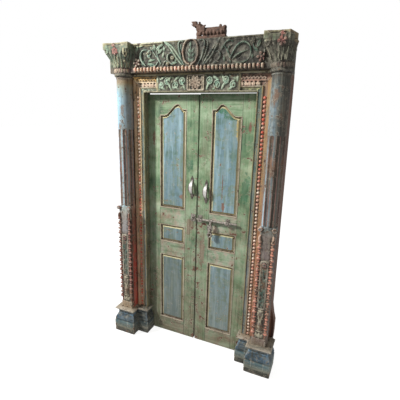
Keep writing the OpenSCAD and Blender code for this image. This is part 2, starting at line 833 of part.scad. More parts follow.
// ---------------------------------------------------------------- nodes

plinth(-1);  // left_plinth
plinth(1);  // right_plinth
column(-1);  // left_column
column(1);  // right_column
capital(-1);  // left_capital
capital(1);  // right_capital
side_post(-1);  // left_side_post
side_post(1);  // right_side_post
jamb(-1);  // left_jamb
jamb(1);  // right_jamb
head();
lintel();
crest();
floor_shoe(-1);  // left_floor_shoe
floor_shoe(1);  // right_floor_shoe
hinge_stile(-1);  // left_hinge_stile
meeting_stile(-1);  // left_meeting_stile
leaf_rail(-1, 3);  // left_top_rail
leaf_rail(-1, 2);  // left_bolt_rail
leaf_rail(-1, 1);  // left_lock_rail
leaf_rail(-1, 0);  // left_bottom_rail
panel(-1, 2);  // left_upper_panel
panel(-1, 1);  // left_middle_panel
panel(-1, 0);  // left_lower_panel
panel_moulding(-1, 2);  // left_upper_moulding
panel_moulding(-1, 1);  // left_middle_moulding
panel_moulding(-1, 0);  // left_lower_moulding
pivots(-1);  // left_pivots
handle(-1);  // left_handle
bolt_keeper();
hinge_stile(1);  // right_hinge_stile
meeting_stile(1);  // right_meeting_stile
leaf_rail(1, 3);  // right_top_rail
leaf_rail(1, 2);  // right_bolt_rail
leaf_rail(1, 1);  // right_lock_rail
leaf_rail(1, 0);  // right_bottom_rail
panel(1, 2);  // right_upper_panel
panel(1, 1);  // right_middle_panel
panel(1, 0);  // right_lower_panel
panel_moulding(1, 2);  // right_upper_moulding
panel_moulding(1, 1);  // right_middle_moulding
panel_moulding(1, 0);  // right_lower_moulding
pivots(1);  // right_pivots
handle(1);  // right_handle
bolt_staple();
bolt_boss();
bolt_bar();
hasp();
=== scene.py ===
import math
import bpy
import numpy as np
from mathutils import Matrix, Vector
from mathutils.bvhtree import BVHTree


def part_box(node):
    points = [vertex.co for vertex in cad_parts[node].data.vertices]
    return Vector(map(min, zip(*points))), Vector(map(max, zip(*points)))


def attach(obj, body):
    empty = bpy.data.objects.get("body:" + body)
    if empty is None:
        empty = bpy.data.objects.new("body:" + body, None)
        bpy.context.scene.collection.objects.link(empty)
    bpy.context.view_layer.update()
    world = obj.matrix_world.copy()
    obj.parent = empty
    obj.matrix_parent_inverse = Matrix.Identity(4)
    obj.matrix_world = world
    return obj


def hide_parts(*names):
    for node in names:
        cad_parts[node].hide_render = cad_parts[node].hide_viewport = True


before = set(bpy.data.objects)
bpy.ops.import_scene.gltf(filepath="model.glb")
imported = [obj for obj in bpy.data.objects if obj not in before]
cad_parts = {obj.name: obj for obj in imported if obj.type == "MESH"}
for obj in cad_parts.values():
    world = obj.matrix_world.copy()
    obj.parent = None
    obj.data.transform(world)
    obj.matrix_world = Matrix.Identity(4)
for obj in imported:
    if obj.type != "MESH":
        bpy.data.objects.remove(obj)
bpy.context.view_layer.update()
bpy.ops.object.select_all(action="DESELECT")

# Main planes of the door and the axis and size of its columns, in millimetres.
JAMB_Y = -2          # front of the jambs
LINTEL_Y = -49       # front of the frieze board
BOARD_Y = -10        # front of the carved board over the opening
COLUMN_X, COLUMN_Y, COLUMN_R = 553, -20, 57
BOARD_MIDDLE = -2    # x of the carved board's flower, between its two rows of scrolls
PAINTED_SHADE_X = 185       # right of it the frieze lies in deep painted shadow, so its strands are given brighter colours
# The strings of beads on the column's foot: distance from its middle line, lowest bead, and step.
STRING_X, STRING_Z, STRING_STEP = 46, 325, 79
# How far a strand's colour reaches round it and over what width it fades out, in metres.
PAINT_REACH, PAINT_FADE = 0.0042, 0.002
DULLED = 0.34        # how much of its rubbed pale and painted highlight a ridge loses under full painted shade
# Steps that spread small leaves evenly without rows, as seeds on a flower head.
SPREAD_X, SPREAD_Z = 0.618034, 0.754878


def linear(code):
    """An sRGB hex colour as linear red, green, blue and alpha."""
    parts = [int(code[i:i + 2], 16) / 255 for i in (1, 3, 5)]
    return [c / 12.92 if c <= 0.04045 else ((c + 0.055) / 1.055) ** 2.4 for c in parts] + [1.0]


def tint(code):
    return np.array(linear(code)[:3])


def node(tree, kind, inputs=(), stops=(), out=0, **settings):
    """Adds a node with its settings and gives one of its outputs, or all with out=None. inputs, in a row or
    by name or number, are linked if they are sockets and set if they are values; stops colour a ramp."""
    made = tree.nodes.new("ShaderNode" + kind)
    for key, value in settings.items():
        setattr(made, key, value)
    if stops:
        ramp = made.color_ramp.elements
        while len(ramp) < len(stops):
            ramp.new(0.5)
        for element, (place, code) in zip(ramp, stops):
            element.position = place
            element.color = linear(code)
    for key, value in inputs.items() if isinstance(inputs, dict) else enumerate(inputs):
        if isinstance(value, bpy.types.NodeSocket):
            tree.links.new(value, made.inputs[key])
        else:
            made.inputs[key].default_value = linear(value) if isinstance(value, str) else value
    return made.outputs if out is None else made.outputs[out]


def blank(name, roughness, metallic=0.0):
    """A new material with its shader; returns material, tree, shader and the object coordinates."""
    material = bpy.data.materials.new(name)
    material.use_nodes = True
    tree = material.node_tree
    shader = tree.nodes["Principled BSDF"]
    shader.inputs["Roughness"].default_value = roughness
    shader.inputs["Metallic"].default_value = metallic
    return material, tree, shader, node(tree, "TexCoord", out="Object")


def washes(tree, body, *coats):
    """Lays thin coats of colour over the body. Each is its colour and then what says where it lies,
    multiplied together: sockets, or ranges (value, low, high, strength at low, strength at high)."""
    for colour, *parts in coats:
        amount = None
        for part in parts:
            if isinstance(part, tuple):
                part = node(tree, "MapRange", part)
            amount = part if amount is None else node(tree, "Math", (amount, part), operation="MULTIPLY")
        body = node(tree, "Mix", {0: amount, 6: body, 7: colour}, out=2, data_type="RGBA")
    return body


def oval(tree, place, x, z, wide, high):
    """How far a point is from the middle of an upright oval: 1 on its edge."""
    sized = node(tree, "Mapping", {"Vector": place, "Location": (-x / wide, 0, -z / high),
                                   "Scale": (1 / wide, 0, 1 / high)})
    return node(tree, "VectorMath", (sized,), operation="LENGTH", out="Value")


def surface(tree, shader, colour, height, strength, depth):
    """Gives the shader its colour and its fine relief, depth in metres."""
    tree.links.new(colour, shader.inputs["Base Color"])
    relief = node(tree, "Bump", {"Strength": strength, "Distance": depth, "Height": height})
    tree.links.new(relief, shader.inputs["Normal"])


def weather(tree, shader, place, colour, wood, chip_mm, chip_level, grain, dirt, bump=0.5, extra=None,
            streaks=0.35, stain=None, soil=0.55):
    """Old brushed paint over carved wood: brush streaks along the grain, stains, worn patches, chips down
    to the wood and dust. grain holds the three scales of the streaks, per metre, and the worn patches are
    about 110 mm wide."""
    brushed = node(tree, "Mapping", {"Vector": place, "Scale": grain})
    streak = node(tree, "TexNoise", {"Vector": brushed, "Scale": 1.0, "Detail": 5.0, "Roughness": 0.62,
                                     "Distortion": 0.4})
    patch = node(tree, "TexNoise", {"Vector": place, "Scale": 9.0, "Detail": 5.0, "Roughness": 0.65})
    speck = node(tree, "TexNoise", {"Vector": place, "Scale": 1000 / chip_mm, "Detail": 8.0,
                                    "Roughness": 0.66, "Distortion": 0.3})
    colour = washes(tree, colour, ("#d6d0b8", (streak, 0.42, 0.72, 0.0, streaks)),
                    ("#4f4a3a", (streak, 0.46, 0.3, 0.0, streaks * 1.3)))
    if stain is not None:
        soaked = node(tree, "Mapping", {"Vector": place, "Location": (3.1, 1.7, 0.4), "Scale": (1, 1, 0.5)})
        spread = node(tree, "TexNoise", {"Vector": soaked, "Scale": 13.0, "Detail": 7.0, "Roughness": 0.7})
        colour = washes(tree, colour, (stain, (spread, 0.55, 0.62, 0.0, 0.8)))
    soiled = node(tree, "MapRange", (patch, 0.42, 0.7, 0.0, soil))
    colour = node(tree, "Mix", {0: soiled, 6: colour, 7: dirt}, out=2, data_type="RGBA",
                  blend_type="MULTIPLY")
    level = node(tree, "Math", (speck, node(tree, "MapRange", (patch, 0.3, 0.7, -0.05, 0.07))))
    if extra is not None:
        level = node(tree, "Math", (level, extra))
    chips = node(tree, "MapRange", (level, chip_level, chip_level + 0.035))
    # each chip has a pale rim of primer
    colour = washes(tree, colour, ("#d9d3bd", (level, chip_level - 0.03, chip_level, 0.0, 0.35)),
                    (wood, chips))
    height = node(tree, "Math", (streak, chips), operation="SUBTRACT")
    surface(tree, shader, colour, height, bump, 0.0012)


def blots(tree, place, body, spots):
    """Ragged blots of another paint. spots holds (x, z, half width, half height, colour), in metres."""
    ragged = node(tree, "TexNoise", {"Vector": place, "Scale": 45.0, "Detail": 6.0, "Roughness": 0.7})
    for *where, code in spots:
        reach = node(tree, "Math", (ragged, 3.2, oval(tree, place, *where)), operation="MULTIPLY_ADD")
        body = washes(tree, body, (code, (reach, 2.75, 2.4, 0.0, 0.92)))
    return body


# Old oil paint, sage green, brushed on the leaves: matt, streaked up the stiles, chipped to brown wood,
# rubbed to a dusty cream on the rails that hands pass and browned near the floor, with painted shade
# darkening the lower left.
def green_paint(name, grain, lightened):
    material, tree, shader, place = blank(name, 0.72)
    x, _, z = node(tree, "SeparateXYZ", (place,), out=None)
    side = node(tree, "Math", (x, 0.0), operation="ABSOLUTE")
    wide = node(tree, "TexNoise", {"Vector": place, "Scale": 6.0, "Detail": 5.0, "Roughness": 0.65})
    body = node(tree, "ValToRGB", (wide,), [(0.3, "#3f6648"), (0.42, "#648a62"), (0.5, "#7f9f76"),
                                            (0.58, "#8fae86"), (0.7, "#b3c6a3")])
    worn = node(tree, "TexNoise", {"Vector": place, "Scale": 16.0, "Detail": 6.0, "Roughness": 0.7})
    pale = node(tree, "ValToRGB", (worn,), [(0.38, "#b2cdae"), (0.5, "#c0c6b0"), (0.6, "#c9b2a2"),
                                            (0.7, "#a08370")])
    # the last wash is painted shade, darker towards the lower left
    body = washes(tree, body, (pale, (worn, 0.38, 0.58, 0.25, 1.0), (z, 1.22, 1.06, 0.0, lightened)),
                  ("#75603f", (worn, 0.35, 0.6, 0.35, 1.0), (z, 0.02, 0.75, 0.8, 0.0)),
                  ("#4f4c35", (x, 0.1, -0.3, 0.0, 0.5), (z, 1.1, 0.3)))
    body = blots(tree, place, body, [
        (-0.062, 1.44, 0.022, 0.05, "#3c7a58"), (0.36, 1.30, 0.03, 0.10, "#44805c"),
        (-0.36, 1.62, 0.012, 0.05, "#8a6b54"), (0.365, 1.72, 0.010, 0.03, "#8a5547"),
        (0.05, 1.62, 0.03, 0.16, "#6f8a64"), (-0.06, 0.98, 0.03, 0.07, "#84705b"),
        (0.05, 0.80, 0.02, 0.12, "#84705b")])
    # the open joints between the stiles and the rails
    joint = node(tree, "Math", [node(tree, "Math", (side, at, 0.0014), operation="COMPARE")
                                for at in (0.096, 0.309)], operation="MAXIMUM")
    body = washes(tree, body, ("#3a3428", joint))
    # chipped most near the meeting stiles, up to where hands reach
    handled = node(tree, "Math", (node(tree, "MapRange", (side, 0.09, 0.0, 0.0, 0.07)),
                                  node(tree, "MapRange", (z, 1.35, 1.0))), operation="MULTIPLY")
    weather(tree, shader, place, body, "#6d4a38", 34, 0.62, grain, "#b0a58a", 0.45, handled, soil=0.75)
    return material


# Old grey-blue paint on the raised panels: yellowish cream on the bevels, brown in the grooves, with
# painted shade low on the left leaf and painted light on the upright bevels.
def panel_paint():
    material, tree, shader, place = blank("grey_blue_panel_paint", 0.7)
    x, y, z = node(tree, "SeparateXYZ", (place,), out=None)
    wide = node(tree, "TexNoise", {"Vector": place, "Scale": 9.0, "Detail": 6.0, "Roughness": 0.66})
    body = node(tree, "ValToRGB", (wide,), [(0.28, "#4c6f60"), (0.4, "#66888a"), (0.5, "#80a2b2"),
                                            (0.58, "#7c998c"), (0.7, "#b3c8c6")])
    upright = node(tree, "Mapping", {"Vector": place, "Scale": (38, 38, 3)})
    runs = node(tree, "TexNoise", {"Vector": upright, "Scale": 1.0, "Detail": 4.0, "Roughness": 0.6})
    # the last wash is painted shade, darker low on the left leaf
    body = washes(tree, body, ("#a9cbd6", (runs, 0.52, 0.66, 0.0, 0.7)),
                  ("#6d8a76", (runs, 0.46, 0.34, 0.0, 0.6)), ("#8a8c7c", (z, 0.1, 1.2, 0.6, 0.0)),
                  ("#4b5650", (x, 0.05, -0.1, 0.0, 0.45), (z, 1.6, 0.6)))
    body = blots(tree, place, body, [
        (0.175, 1.845, 0.07, 0.045, "#2f7355"), (0.25, 1.79, 0.05, 0.03, "#2f7355"),
        (-0.118, 0.60, 0.017, 0.05, "#1f6452"), (-0.29, 1.66, 0.012, 0.13, "#3f7f58"),
        (0.285, 1.72, 0.014, 0.07, "#cdb36a"), (0.20, 1.16, 0.012, 0.03, "#8a5a44"),
        (0.19, 1.30, 0.004, 0.10, "#7a5a4c"), (-0.13, 1.20, 0.02, 0.02, "#8f6a55")])
    depth = node(tree, "MapRange", (y, 0.06, 0.071))
    bevel = node(tree, "ValToRGB", (depth,), [(0.0, "#d3cda0"), (0.45, "#d8cd9c"), (0.85, "#c2b382"),
                                              (1.0, "#6f5a3c")])
    # the upright bevels beside the stiles, where across is 0, are painted near white as painted light
    # against the shade that falls on them; all bevels grow browner towards the bottom
    side = node(tree, "Math", (x, 0.0), operation="ABSOLUTE")
    across = node(tree, "Math", (side, 0.2025, 0.088), operation="COMPARE")
    bevel = washes(tree, "#fff8d2", (bevel, across), ("#7d6642", (z, 0.1, 0.9, 0.45, 0.0)))
    body = washes(tree, body, (bevel, (y, 0.0602, 0.0606)))
    weather(tree, shader, place, body, "#7d5a44", 30, 0.635, (60, 60, 5), "#b0b3a4", 0.4, streaks=0.2)
    return material


# The mouldings round the panels: a pale front edge, worn paint with a painted highlight, and dark brown
# in the hollow, brown paint darkened further as painted shade.
def moulding_paint():
    material, tree, shader, place = blank("pale_edge_on_brown_moulding_with_painted_light_and_shade", 0.65)
    _, y, _ = node(tree, "SeparateXYZ", (place,), out=None)
    # deeper is darker: painted shade in the hollow over brown paint, and a painted highlight on the front
    depth = node(tree, "MapRange", (y, 0.0545, 0.07))
    body = node(tree, "ValToRGB", (depth,), [(0.0, "#c9bfa8"), (0.14, "#b9a78e"), (0.26, "#6b533c"),
                                             (0.6, "#43301f")])
    weather(tree, shader, place, body, "#5f4436", 22, 0.60, (30, 30, 30), "#a39a80", 0.4)
    return material


# The moulded jambs: painted bands side by side, red and cream beads in a dark channel.
def jamb_paint():
    material, tree, shader, place = blank("banded_jamb_paint", 0.75)
    x, y, z = node(tree, "SeparateXYZ", (place,), out=None)
    side = node(tree, "Math", (x, 0.0), operation="ABSOLUTE")
    across = node(tree, "MapRange", (side, 0.4, 0.5))
    bands = (0.06, 0.1, 0.13, 0.33, 0.37, 0.44, 0.7, 0.73, 0.94)
    upper, lower = (node(tree, "ValToRGB", (across,), list(zip(bands, codes.split()))) for codes in (
        "#56604a #bcae7a #4d6b64 #77857a #a0946c #8a6a56 #93705a #bd8f55 #bb9676",
        "#565c4c #c0b282 #6c8592 #928b7a #a88f74 #8e6a55 #9a735c #b5805c #b06a54"))
    upright = node(tree, "Mapping", {"Vector": place, "Scale": (60, 60, 9)})
    mottle = node(tree, "TexNoise", {"Vector": upright, "Scale": 1.0, "Detail": 5.0, "Roughness": 0.7})
    # the second wash is painted light: it lightens the left jamb's outer strip, which lies in its column's
    # shade
    body = washes(tree, upper, (lower, (z, 1.5, 0.7)),
                  ("#ffd8ac", (x, 0.1, -0.1, 0.0, 0.62), (side, 0.43, 0.44)),
                  ("#a89562", (mottle, 0.54, 0.6, 0.0, 0.75)), ("#456a62", (mottle, 0.44, 0.38, 0.0, 0.75)))
    # most beads are red low on the left jamb and high on the right one, and cream elsewhere
    spot = node(tree, "TexNoise", {"Vector": place, "Scale": 24.0, "Detail": 3.0})
    slope = node(tree, "Math", (node(tree, "MapRange", (x, -0.3, 0.3, 1.0, -1.0)),
                                node(tree, "MapRange", (z, 1.2, 1.5, -0.09, 0.09))), operation="MULTIPLY")
    bead = node(tree, "ValToRGB", (node(tree, "Math", (spot, slope)),),
                [(0.38, "#e06048"), (0.46, "#eaa088"), (0.54, "#e4b89e"), (0.66, "#fbeedb")])
    proud = node(tree, "Math", (side, 0.457, 0.0125), operation="COMPARE")
    body = washes(tree, body, (bead, (y, 0.006, 0.003), proud))
    weather(tree, shader, place, body, "#5c4233", 26, 0.61, (45, 45, 5), "#a89a80", 0.5, streaks=0.25)
    return material


# Bare hardwood of the side posts, reddish brown and split along the grain.
def bare_wood(name, pale, mid, dark, scale):
    material, tree, shader, place = blank(name, 0.8)
    stretched = node(tree, "Mapping", {"Vector": place, "Scale": scale})
    grain = node(tree, "TexNoise", {"Vector": stretched, "Scale": 1.0, "Detail": 7.0, "Roughness": 0.65,
                                    "Distortion": 0.8})
    body = node(tree, "ValToRGB", (grain,), [(0.3, dark), (0.45, mid), (0.6, pale), (0.72, mid)])
    surface(tree, shader, body, grain, 0.6, 0.0015)
    return material


# Carved wood under old paint: the paint's own colours come from the attribute paint; dirt and painted
# shade sit in the hollows, and the ridges are rubbed pale with a painted highlight, as the attribute ridge
# says.
def carved_paint(name, wood, dirt, rubbed_and_highlit, chip_level=0.63, grain=(30, 30, 30), hollow=(0.50, 0.28),
                 rub_and_highlight=0.45, stain=None):
    material, tree, shader, place = blank(name, 0.75)
    body = node(tree, "Attribute", attribute_name="paint", out="Color")
    ridge = node(tree, "Attribute", attribute_name="ridge", out="Fac")
    fine = node(tree, "TexNoise", {"Vector": place, "Scale": 60.0, "Detail": 5.0})
    level = node(tree, "Math", (ridge, node(tree, "MapRange", (fine, 0.3, 0.7, -0.12, 0.12))))
    body = washes(tree, body, (rubbed_and_highlit, (level, 0.62, 0.9, 0.0, rub_and_highlight)), (dirt, (level, *hollow, 0.0, 0.92)))
    knocked = node(tree, "MapRange", (ridge, 0.4, 1.0, -0.02, 0.05))
    weather(tree, shader, place, body, wood, 24, chip_level, grain, "#b6b09a", 0.5, knocked, 0.3, stain)
    return material


# Wrought iron, black in the forge scale and rubbed bright grey where hands hold it. grips holds the
# middles (x, z) of the polished lengths, in metres, painted as pale ovals that are polish and painted
# reflection both.
def iron(name, dark, bright, grips=()):
    material, tree, shader, place = blank(name, 0.5, 0.7)
    pit = node(tree, "TexNoise", {"Vector": place, "Scale": 90.0, "Detail": 6.0})
    body = node(tree, "ValToRGB", (pit,), [(0.35, dark), (0.5, bright), (0.62, bright), (0.75, "#5b4a3c")])
    # pale ovals on the grips: polish from hands and painted reflection
    for x, z in grips:
        body = washes(tree, body, ("#c9c6c2", (oval(tree, place, x, z, 0.0125, 0.055), 1.1, 0.8)))
    tree.links.new(node(tree, "MapRange", (pit, 0.3, 0.7, 0.7, 0.5)), shader.inputs["Roughness"])
    surface(tree, shader, body, pit, 0.5, 0.0008)
    return material


# ------------------------------------------------------------------ carving

slots = {"lintel": "frieze_paint", "head": "head_paint", "crest": "raw_wood", "hasp": "wrought_iron"}
for part in ("capital", "column", "plinth"):
    slots["left_" + part] = slots["right_" + part] = part + "_paint"


def only(obj):
    bpy.ops.object.select_all(action="DESELECT")
    obj.select_set(True)
    bpy.context.view_layer.objects.active = obj


def read(items, what, wide=3, kind=float):
    """What each item holds, a row for each."""
    held = np.empty(len(items) * wide, kind)
    items.foreach_get(what, held)
    return held.reshape(-1, wide)


def modify(obj, kind, **settings):
    """Adds a modifier with its settings and applies it."""
    modifier = obj.modifiers.new(kind, kind)
    for key, value in settings.items():
        setattr(modifier, key, value)
    bpy.ops.object.modifier_apply(modifier=modifier.name)


def solid_of(part, shave=None):
    """A merged copy of a plain solid, ready to be carved, cut off in front of the plane at shave."""
    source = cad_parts[part]
    obj = bpy.data.objects.new(part + "_carved", source.data.copy())
    bpy.context.scene.collection.objects.link(obj)
    only(obj)
    obj.data.materials.clear()
    bpy.ops.object.mode_set(mode="EDIT")
    bpy.ops.mesh.select_all(action="SELECT")
    bpy.ops.mesh.remove_doubles(threshold=0.00001)
    if shave is not None:
        bpy.ops.mesh.select_all(action="SELECT")
        bpy.ops.mesh.bisect(plane_co=(0, shave / 1000, 0), plane_no=(0, 1, 0), use_fill=True,
                            clear_inner=True)
    bpy.ops.object.mode_set(mode="OBJECT")
    return obj


def strands(name, lines):
    """Rounded strands of carving. Each line is points (x, y, z, half width), in millimetres."""
    bpy.ops.curve.primitive_nurbs_path_add()
    obj = bpy.context.active_object
    obj.name = name
    curve = obj.data
    curve.splines.clear()
    for line in lines:
        spline = curve.splines.new("NURBS")
        spline.points.add(len(line) - 1)
        for point, (x, y, z, half) in zip(spline.points, line):
            point.co = (x / 1000, y / 1000, z / 1000, 1)
            point.radius = half
        spline.order_u = min(3, len(line))
        spline.use_endpoint_u = True
        spline.resolution_u = 3
    curve.bevel_depth = 0.001
    curve.bevel_resolution = 2
    curve.use_fill_caps = True
    only(obj)
    bpy.ops.object.convert(target="MESH")
    return bpy.context.active_object


def ridges(mesh, reach_mm):
    """How far each point stands out of the surface round it: 0.5 is flush, 1 a ridge, 0 a hollow."""
    co = soft = read(mesh.vertices, "co")
    edges = read(mesh.edges, "vertices", 2, int)
    ends, others = np.concatenate([edges, edges[:, ::-1]]).T
    share = np.maximum(np.bincount(ends, minlength=len(co)), 1)
    for _ in range(10):
        soft = np.stack([np.bincount(ends, soft[others, k], len(co)) / share for k in range(3)], axis=1)
    proud = ((co - soft) * read(mesh.vertices, "normal")).sum(axis=1) * 1000 / reach_mm
    return np.clip(0.5 + 0.5 * proud, 0, 1)


def carve(name, part, material, voxel_mm, groups=(), ground="#8f9a80", shave=None, smooth=2, uneven_mm=1.0,
          reach_mm=2.2, shade=None, spare_mm=-0.3, body="frame"):
    """Fuses a plain solid with the strands of carving on it, wears it round and paints it.
    groups holds (colour, lines); ground is a colour or a function of the points, in millimetres, and
    shade a function of them that multiplies the colours: below 1 it paints shade, above 1 light.
    spare_mm is how far the carving may reach past the plain solid's box."""
    obj = solid_of(part, shave)
    painted, parts = [], [obj]
    for colour, lines in groups:
        made = strands(name + "_strands", lines)
        painted.append((colour, BVHTree.FromPolygons([v.co for v in made.data.vertices],
                                                     [p.vertices for p in made.data.polygons])))
        parts.append(made)
    bpy.ops.object.select_all(action="DESELECT")
    for p in parts:
        p.select_set(True)
    bpy.context.view_layer.objects.active = obj
    bpy.ops.object.join()
    coarse = 1.0
    modify(obj, "REMESH", mode="VOXEL", voxel_size=voxel_mm * coarse / 1000)
    modify(obj, "SMOOTH", iterations=smooth, factor=0.5)
    cloud = bpy.data.textures.new(name + "_tool_marks", "CLOUDS")
    cloud.noise_scale = 0.03
    cloud.noise_depth = 2
    modify(obj, "DISPLACE", texture=cloud, texture_coords="LOCAL", strength=uneven_mm / 1000, mid_level=0.6)
    mesh = obj.data
    low, high = (np.array(corner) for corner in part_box(part))
    kept = np.clip(read(mesh.vertices, "co"), low - spare_mm / 1000, high + spare_mm / 1000)
    mesh.vertices.foreach_set("co", kept.ravel())
    mesh.update()
    co = read(mesh.vertices, "co")
    ridge = ridges(mesh, reach_mm)
    colours = ground(co * 1000) if callable(ground) else np.tile(tint(ground), (len(co), 1))
    for colour, tree in painted:
        near = np.array([(tree.find_nearest(Vector(p), PAINT_REACH)[3] or PAINT_REACH) for p in co])
        share = np.clip((PAINT_REACH - near) / PAINT_FADE, 0, 1)[:, None]
        colours = colours * (1 - share) + tint(colour) * share
    # painted light and shade: the colours are multiplied, and ridges in painted shade lose some of their
    # pale
    if shade is not None:
        light_and_shade = shade(co * 1000)
        colours = colours * light_and_shade[:, None]
        ridge = ridge + DULLED * np.minimum(light_and_shade - 1, 0)
    mesh.attributes.new("ridge", "FLOAT", "POINT").data.foreach_set("value", ridge.astype(np.float32))
    paint = np.concatenate([colours, np.ones((len(co), 1))], axis=1).astype(np.float32)
    mesh.attributes.new("paint", "FLOAT_COLOR", "POINT").data.foreach_set("color", paint.ravel())
    only(obj)
    bpy.ops.object.shade_smooth()
    obj.name = mesh.name = name
    mesh.materials.clear()
    mesh.materials.append(material)
    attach(obj, body)
    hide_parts(part)


def flat(y, lines):
    """Lines drawn on the front as (x, z, half width), laid on the plane at y and standing out of it."""
    return [[(x, y - 0.6 * w, z, w) for x, z, w in line] for line in lines]


def moved(lines, dx, dz, side=1):
    """Lines moved on the front, and mirrored first with side -1."""
    return [[(dx + side * x, z + dz, w) for x, z, w in line] for line in lines]


def dot(x, z, w):
    return [(x - w, z, 0.1 * w), (x - 0.75 * w, z, 0.72 * w), (x, z, w * 1.15), (x + 0.75 * w, z, 0.72 * w),
            (x + w, z, 0.1 * w)]


def curl(x, z, r, start, turns, w, eye=True):
    """A scroll that winds in towards its round eye."""
    steps = int(turns * 12)
    line = []
    for i in range(steps + 1):
        t = i / steps
        a = math.radians(start) + turns * 2 * math.pi * t
        reach = r * (1 - 0.72 * t)
        line.append((x + reach * math.cos(a), z + reach * math.sin(a), w * (1 - 0.3 * t)))
    return [line] + ([dot(x, z, w * 1.5)] if eye else [])


def leaves(*rows):
    """Pointed leaves of two lobes with a vein between them. Each row is x, z, angle, length, width and, if
    it isn't straight, bend."""
    lines = []
    for x, z, angle, length, width, *bend in rows:
        a = math.radians(angle)
        for side in (-1, 1):
            line = []
            for i in range(7):
                t = i / 6
                half = width / 2 * math.sin(math.pi * t ** 0.8)
                off = side * half * 0.55 + sum(bend) * t * t
                line.append((x + math.cos(a) * length * t - math.sin(a) * off,
                             z + math.sin(a) * length * t + math.cos(a) * off, max(0.9, half * 0.55)))
            lines.append(line)
    return lines


def along(points, count):
    """Evenly placed points on a smooth line through the given ones, each with its direction."""
    p = np.array(points, float)
    t = np.concatenate([[0], np.cumsum(np.hypot(*np.diff(p, axis=0).T))])
    fine = np.linspace(0, t[-1], 8 * len(p))
    x, z = np.interp(fine, t, p[:, 0]), np.interp(fine, t, p[:, 1])
    for _ in range(6):
        x[1:-1] = (x[:-2] + 2 * x[1:-1] + x[2:]) / 4
        z[1:-1] = (z[:-2] + 2 * z[1:-1] + z[2:]) / 4
    at = np.linspace(0, len(x) - 1, count)
    x, z = np.interp(at, range(len(x)), x), np.interp(at, range(len(z)), z)
    dx, dz = np.gradient(x), np.gradient(z)
    size = np.hypot(dx, dz)
    return np.stack([x, z, dx / size, dz / size], axis=1).tolist()


def strokes(*rows):
    """Swelling strands. Each row is its half widths at the start, middle and end, then its points."""
    lines = []
    for w0, w1, w2, *points in rows:
        lines.append([(x, z, float(np.interp(i, [0, 4, 8], [w0, w1, w2])))
                      for i, (x, z, _, _) in enumerate(along(points, 9))])
    return lines


def feather(width, tooth, sides, *points):
    """A long carved leaf: two halves with a groove between them, toothed down the outside."""
    length = sum(math.hypot(b[0] - a[0], b[1] - a[1]) for a, b in zip(points, points[1:]))
    track = along(points, 12)
    full = [math.sin(math.pi * min(1.0, 0.12 + 0.84 * (i / 11) ** 0.8)) for i in range(12)]
    lines = []
    for side in sides:
        half = []
        for (x, z, dx, dz), f in zip(track, full):
            off = side * width * 0.24 * f
            half.append((x - dz * off, z + dx * off, max(1.2, width * 0.19 * f)))
        lines.append(half)
        count = max(3, int(length / tooth))
        for k in range(1, count):
            i = k / count * 11
            x, z, dx, dz = (float(np.interp(i, range(12), [t[c] for t in track])) for c in range(4))
            f = float(np.interp(i, range(12), full))
            near, far, on = width * 0.30 * f, width * 0.56 * f, width * 0.34 * f
            lines.append([(x - side * dz * near, z + side * dx * near, 3.4 * f + 0.6),
                          (x - side * dz * far + dx * on, z + side * dx * far + dz * on, 1.2)])
    return lines


def flower(x, z, r, petals):
    lines = [dot(x, z, r * 0.26)]
    for k in range(petals):
        a = 2 * math.pi * (k + 0.5) / petals
        lines.append([(x + r * s * math.cos(a), z + r * s * math.sin(a), r * h)
                      for s, h in ((0.32, 0.12), (0.55, 0.30), (0.8, 0.34), (1.02, 0.12))])
    return lines


def turned(lines, angle, reach):
    """Lines drawn as (x, z, half width) on an upright face, at that reach from the column's axis and turned
    to face the angle."""
    s, c = math.sin(math.radians(angle)), math.cos(math.radians(angle))
    return [[(COLUMN_X + (reach + 0.5 * w) * s + x * c, COLUMN_Y - (reach + 0.5 * w) * c + x * s, z, w)
             for x, z, w in line] for line in lines]


def radial(angle, *line, cx=COLUMN_X):
    """A line drawn as (distance from the column's axis, z, half width) in the upright plane at an angle."""
    s, c = math.sin(math.radians(angle)), math.cos(math.radians(angle))
    return [(cx + r * s, COLUMN_Y - r * c, z, w) for r, z, w in line]


def blended(z, heights, codes):
    """Colours, given in one row of codes, that change with height."""
    table = np.array([tint(code) for code in codes.split()])
    return np.stack([np.interp(z, heights, table[:, k]) for k in range(3)], axis=1)


# ------------------------------------------------------------------ finishes

leaf_upright = green_paint("sage_green_oil_paint_upright", (70, 70, 3.5), 0.35)
leaf_across = green_paint("sage_green_oil_paint_across", (3.5, 70, 70), 0.9)
post_wood = bare_wood("bare_reddish_hardwood", "#7a5138", "#5d3826", "#33201a", (60, 60, 3))
crest_wood = bare_wood("bare_weathered_carved_wood", "#75594a", "#543d2f", "#241914", (40, 40, 40))
forged = iron("wrought_iron_rubbed_grey", "#38332e", "#a0988f")
grip_iron = iron("wrought_iron_polished_with_painted_reflection", "#2f2a26", "#6a625b", [(-0.043, 1.280), (0.070, 1.260)])
# the frieze's hollows are darkened further than the others', as painted shade between its leaves
frieze_paint = carved_paint("carved_frieze_green_paint", "#5c4936", "#1e1b14", "#d6dcc4",
                            hollow=(0.53, 0.33), rub_and_highlight=0.5)
board_paint = carved_paint("carved_board_ochre_and_green_paint", "#5c4936", "#231d15", "#d8d2bc", rub_and_highlight=0.5)
capital_paint = carved_paint("carved_capital_green_and_cream_paint", "#6a543f", "#2b251c", "#cfcbb0",
                             rub_and_highlight=0.35)
column_paint = carved_paint("streaked_blue_column_paint", "#5f4a3b", "#33281f", "#cfc8bc",
                            grain=(60, 60, 4), chip_level=0.60, stain="#86644a", rub_and_highlight=0.22)
plinth_paint = carved_paint("worn_blue_plinth_paint", "#6b5544", "#2d3431", "#b9b7a4", grain=(12, 12, 60),
                            chip_level=0.60)

